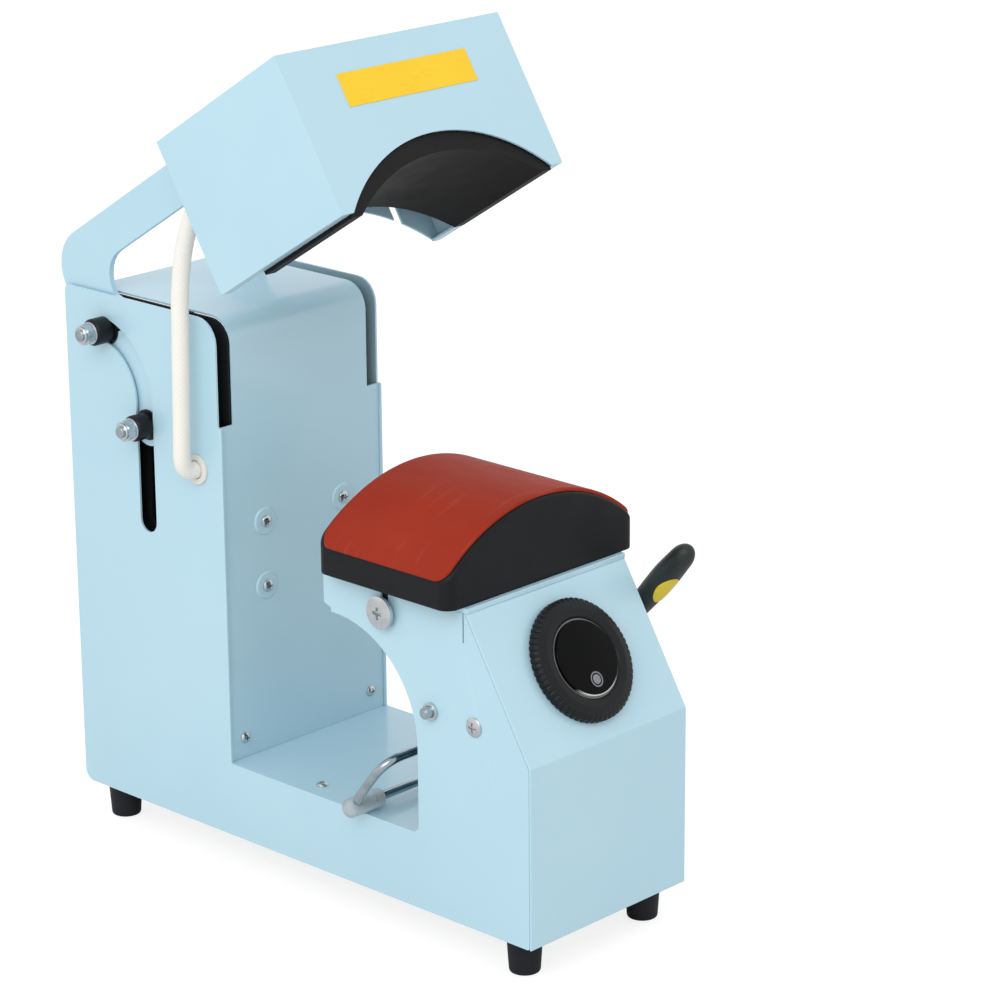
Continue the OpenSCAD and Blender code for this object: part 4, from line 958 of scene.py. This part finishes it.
SHAFT_END, NUT_FLATS, NUT_CROWN, NUT_H = 98.5, 13, 7.75, 6.2
for which, roller_r, roller_end in (("lower", 9.0, 87.4), ("upper", 9.25, 87.9)):
    at = SHAFTS[which]
    shaft = joined(which + "_shaft_bar", turned_shell(rounded([
        (0, -SHAFT_END, 0), (4, -SHAFT_END, 0.7), (4, SHAFT_END, 0.7), (0, SHAFT_END, 0)], 5),
        facing("right", 0, *at), 48))
    low = roller_end + 1.3
    roller_outline = rounded([
        (4.05, 72.3, 0), (10.7, 72.3, 0.3), (10.7, 73.2, 0.2), (8.1, 73.2, 0), (8.1, 75.3, 0),
        (roller_r, 75.3, 0.6), (roller_r, roller_end - 1.4, 0.5),
        (roller_r - 1.2, roller_end, 0.8), (4.05, roller_end, 0.3)], 5)
    nut_outline = np.array([(4.01, low)] + [
        (7.0, low + h) for h in (0, 0.35, 0.7, 1.4, 3.1, 4.8, 5.5, 5.85, NUT_H)
    ] + [(5.5, low + 6.25), (5.75, low + 6.5), (5.75, low + 7.4), (5.3, low + 7.8),
         (4.01, low + 7.8)])
    rollers, nuts = [], []
    for side in ("left", "right"):
        place = facing(side, 0, *at)
        rollers.append(turned_shell(roller_outline, place, 72))
        nuts.append(washer(4.01, NUT_CROWN, low - 1.2, low, place))
        nuts.append(turned_shell(
            nut_outline, place, 96, hexagonal(NUT_FLATS, NUT_CROWN, low, low + NUT_H)))
    for piece, material, slot, node in (
        (shaft, bright_steel, "bright_steel", which + "_guide_shaft"),
        (joined(which + "_rollers", *rollers), black_plastic, "black_plastic",
         which + "_guide_rollers"),
        (joined(which + "_nuts", *nuts), zinc, "zinc_plate", which + "_guide_nuts"),
    ):
        smooth_under(piece, 28)
        dress(piece, material, slot, node)
keep_node(bright_steel, "actuator_rod")

# Head
# Two thick arms hang on the guide shafts and carry a plate; the heater's curved platen
# hangs from it on studs. A folded cover with arched ends hides them, and a blank yellow
# film is stuck on its front. A rubber grommet lets the heater's cable in at the back.
HEAD_LEAN, HEAD_CABLE_HOLE = math.radians(-32), (-84, -153.9, 104)
for node in ("left_arm", "right_arm"):
    dress(eased(node, 0.5, 0.5), blue_paint, "blue_paint", node)
dress(eased("head_cover", 1.1, 0.45), blue_paint, "blue_paint", "head_cover")
heater_black = finish("heater_coating", srgb(22, 22, 23), srgb(30, 29, 30), patches=30,
                      roughness=0.6, grains=1300, relief=0.2, Specular_IOR_Level=0.18)
dress(eased("heating_platen", 0.8, 0.8), heater_black, "black_casting", "heating_platen")
keep_node(zinc, "head_cross_plate", "platen_studs")
keep_node(finish("heater_film", srgb(150, 88, 52), srgb(128, 70, 40), patches=80,
                 roughness=0.45, relief=0.1), "heating_element")
keep_node(finish("insulation", srgb(232, 230, 222), srgb(214, 211, 202), patches=60,
                 roughness=0.85, grains=700, relief=0.5, depth=0.0006), "insulation_board")
label_film = finish("label_film", srgb(250, 206, 14), srgb(246, 198, 12), patches=20,
                    roughness=0.3, grains=900, relief=0.03)
dress(eased("head_label", 0.15, 0.15), label_film, "yellow_trim", "head_label")


def grommet_shell(bore, place):
    """A rubber ring turned from one profile: a lip outside the sheet and a lip inside."""
    return turned_shell(rounded([
        (bore / 2, -3.7, 0.3), (10, -3.7, 0.5), (10, -1.7, 0.2), (8.5, -1.7, 0), (8.5, 0, 0),
        (10.5, 0, 0.2), (10.5, 2.2, 1.0), (bore / 2, 2.2, 0.7)], 6), place, 64)


def on_rear_wall(points):
    """Out of the head's rear wall at the cable's hole, from the level head's millimetres
    turned back by 32 degrees about the lower shaft."""
    x, y, z = HEAD_CABLE_HOLE
    level = np.stack([x - points[..., 0], y + points[..., 2], z + points[..., 1]], -1)
    return in_body(turned_about(level, HEAD_LEAN, SHAFTS["lower"]))


cream_rubber = finish("cream_rubber", srgb(226, 226, 218), srgb(212, 212, 204), patches=60,
                      roughness=0.45, grains=1500, relief=0.1)
for name, shell, material, slot, node in (
    ("cable_grommet_ring", grommet_shell(12.6, facing("left", -BODY_SIDE, 304, 258.5)),
     cream_rubber, "cream_sleeve", "cable_grommet"),
    ("head_grommet_ring", grommet_shell(13.4, on_rear_wall),
     black_plastic, "black_plastic", "head_grommet"),
):
    grommet = joined(name, shell)
    smooth_under(grommet, 35)
    dress(grommet, material, slot, node)

# Room
# A pale floor lies half a millimetre under the feet. A white surround and one large soft lamp
# from the upper left light the press.
FLOOR_HALF, FLOOR_Z = 6, -0.0005
floor_mesh = bpy.data.meshes.new("floor")
floor_mesh.from_pydata([(x * FLOOR_HALF, y * FLOOR_HALF, FLOOR_Z) for x, y in (
    (-1, -1), (1, -1), (1, 1), (-1, 1))], [], [(0, 1, 2, 3)])
floor = new_object("floor", floor_mesh)
floor_paint, tree, shader = blank_material("floor_paint")
tree.nodes.remove(shader)
matt = add_node(tree, "BsdfDiffuse", Color=(0.8, 0.8, 0.8, 1))
seen_matt = add_node(tree, "BsdfDiffuse", Color=(0.32, 0.32, 0.32, 1))
seen_glow = add_node(tree, "Emission", Color=(1, 1, 1, 1), Strength=0.8)
seen = add_node(tree, "AddShader")
choose = add_node(tree, "MixShader")
ray = add_node(tree, "LightPath")
tree.links.new(seen_matt.outputs[0], seen.inputs[0])
tree.links.new(seen_glow.outputs[0], seen.inputs[1])
tree.links.new(ray.outputs["Is Camera Ray"], choose.inputs[0])
tree.links.new(matt.outputs[0], choose.inputs[1])
tree.links.new(seen.outputs[0], choose.inputs[2])
tree.links.new(choose.outputs[0], tree.nodes["Material Output"].inputs["Surface"])
floor_mesh.materials.append(floor_paint)

world = bpy.data.worlds.new("surround")
bpy.context.scene.world = world
world.use_nodes = True
tree = world.node_tree
ray = add_node(tree, "LightPath")
direct = worked_out(tree, "MAXIMUM", ray.outputs["Is Camera Ray"], ray.outputs["Is Glossy Ray"])
clear = worked_out(tree, "MAXIMUM", direct, ray.outputs["Is Transmission Ray"])
tree.links.new(ramped(tree, clear, 0.0, 1.0, low=0.86), tree.nodes["Background"].inputs["Strength"])
tree.nodes["Background"].inputs["Color"].default_value = (1, 1, 1, 1)

lamp_data = bpy.data.lights.new("soft_lamp", "AREA")
lamp_data.shape = "RECTANGLE"
lamp_data.size, lamp_data.size_y = 2.6, 1.8
lamp_data.energy = 40
lamp = new_object("soft_lamp", lamp_data)
lamp.location = (-2.6, -1.1, 2.3)
press_middle = Vector((0, 0, 0.25))
lamp.rotation_euler = (press_middle - lamp.location).to_track_quat("-Z", "Y").to_euler()

bpy.context.scene.view_settings.view_transform = "Standard"
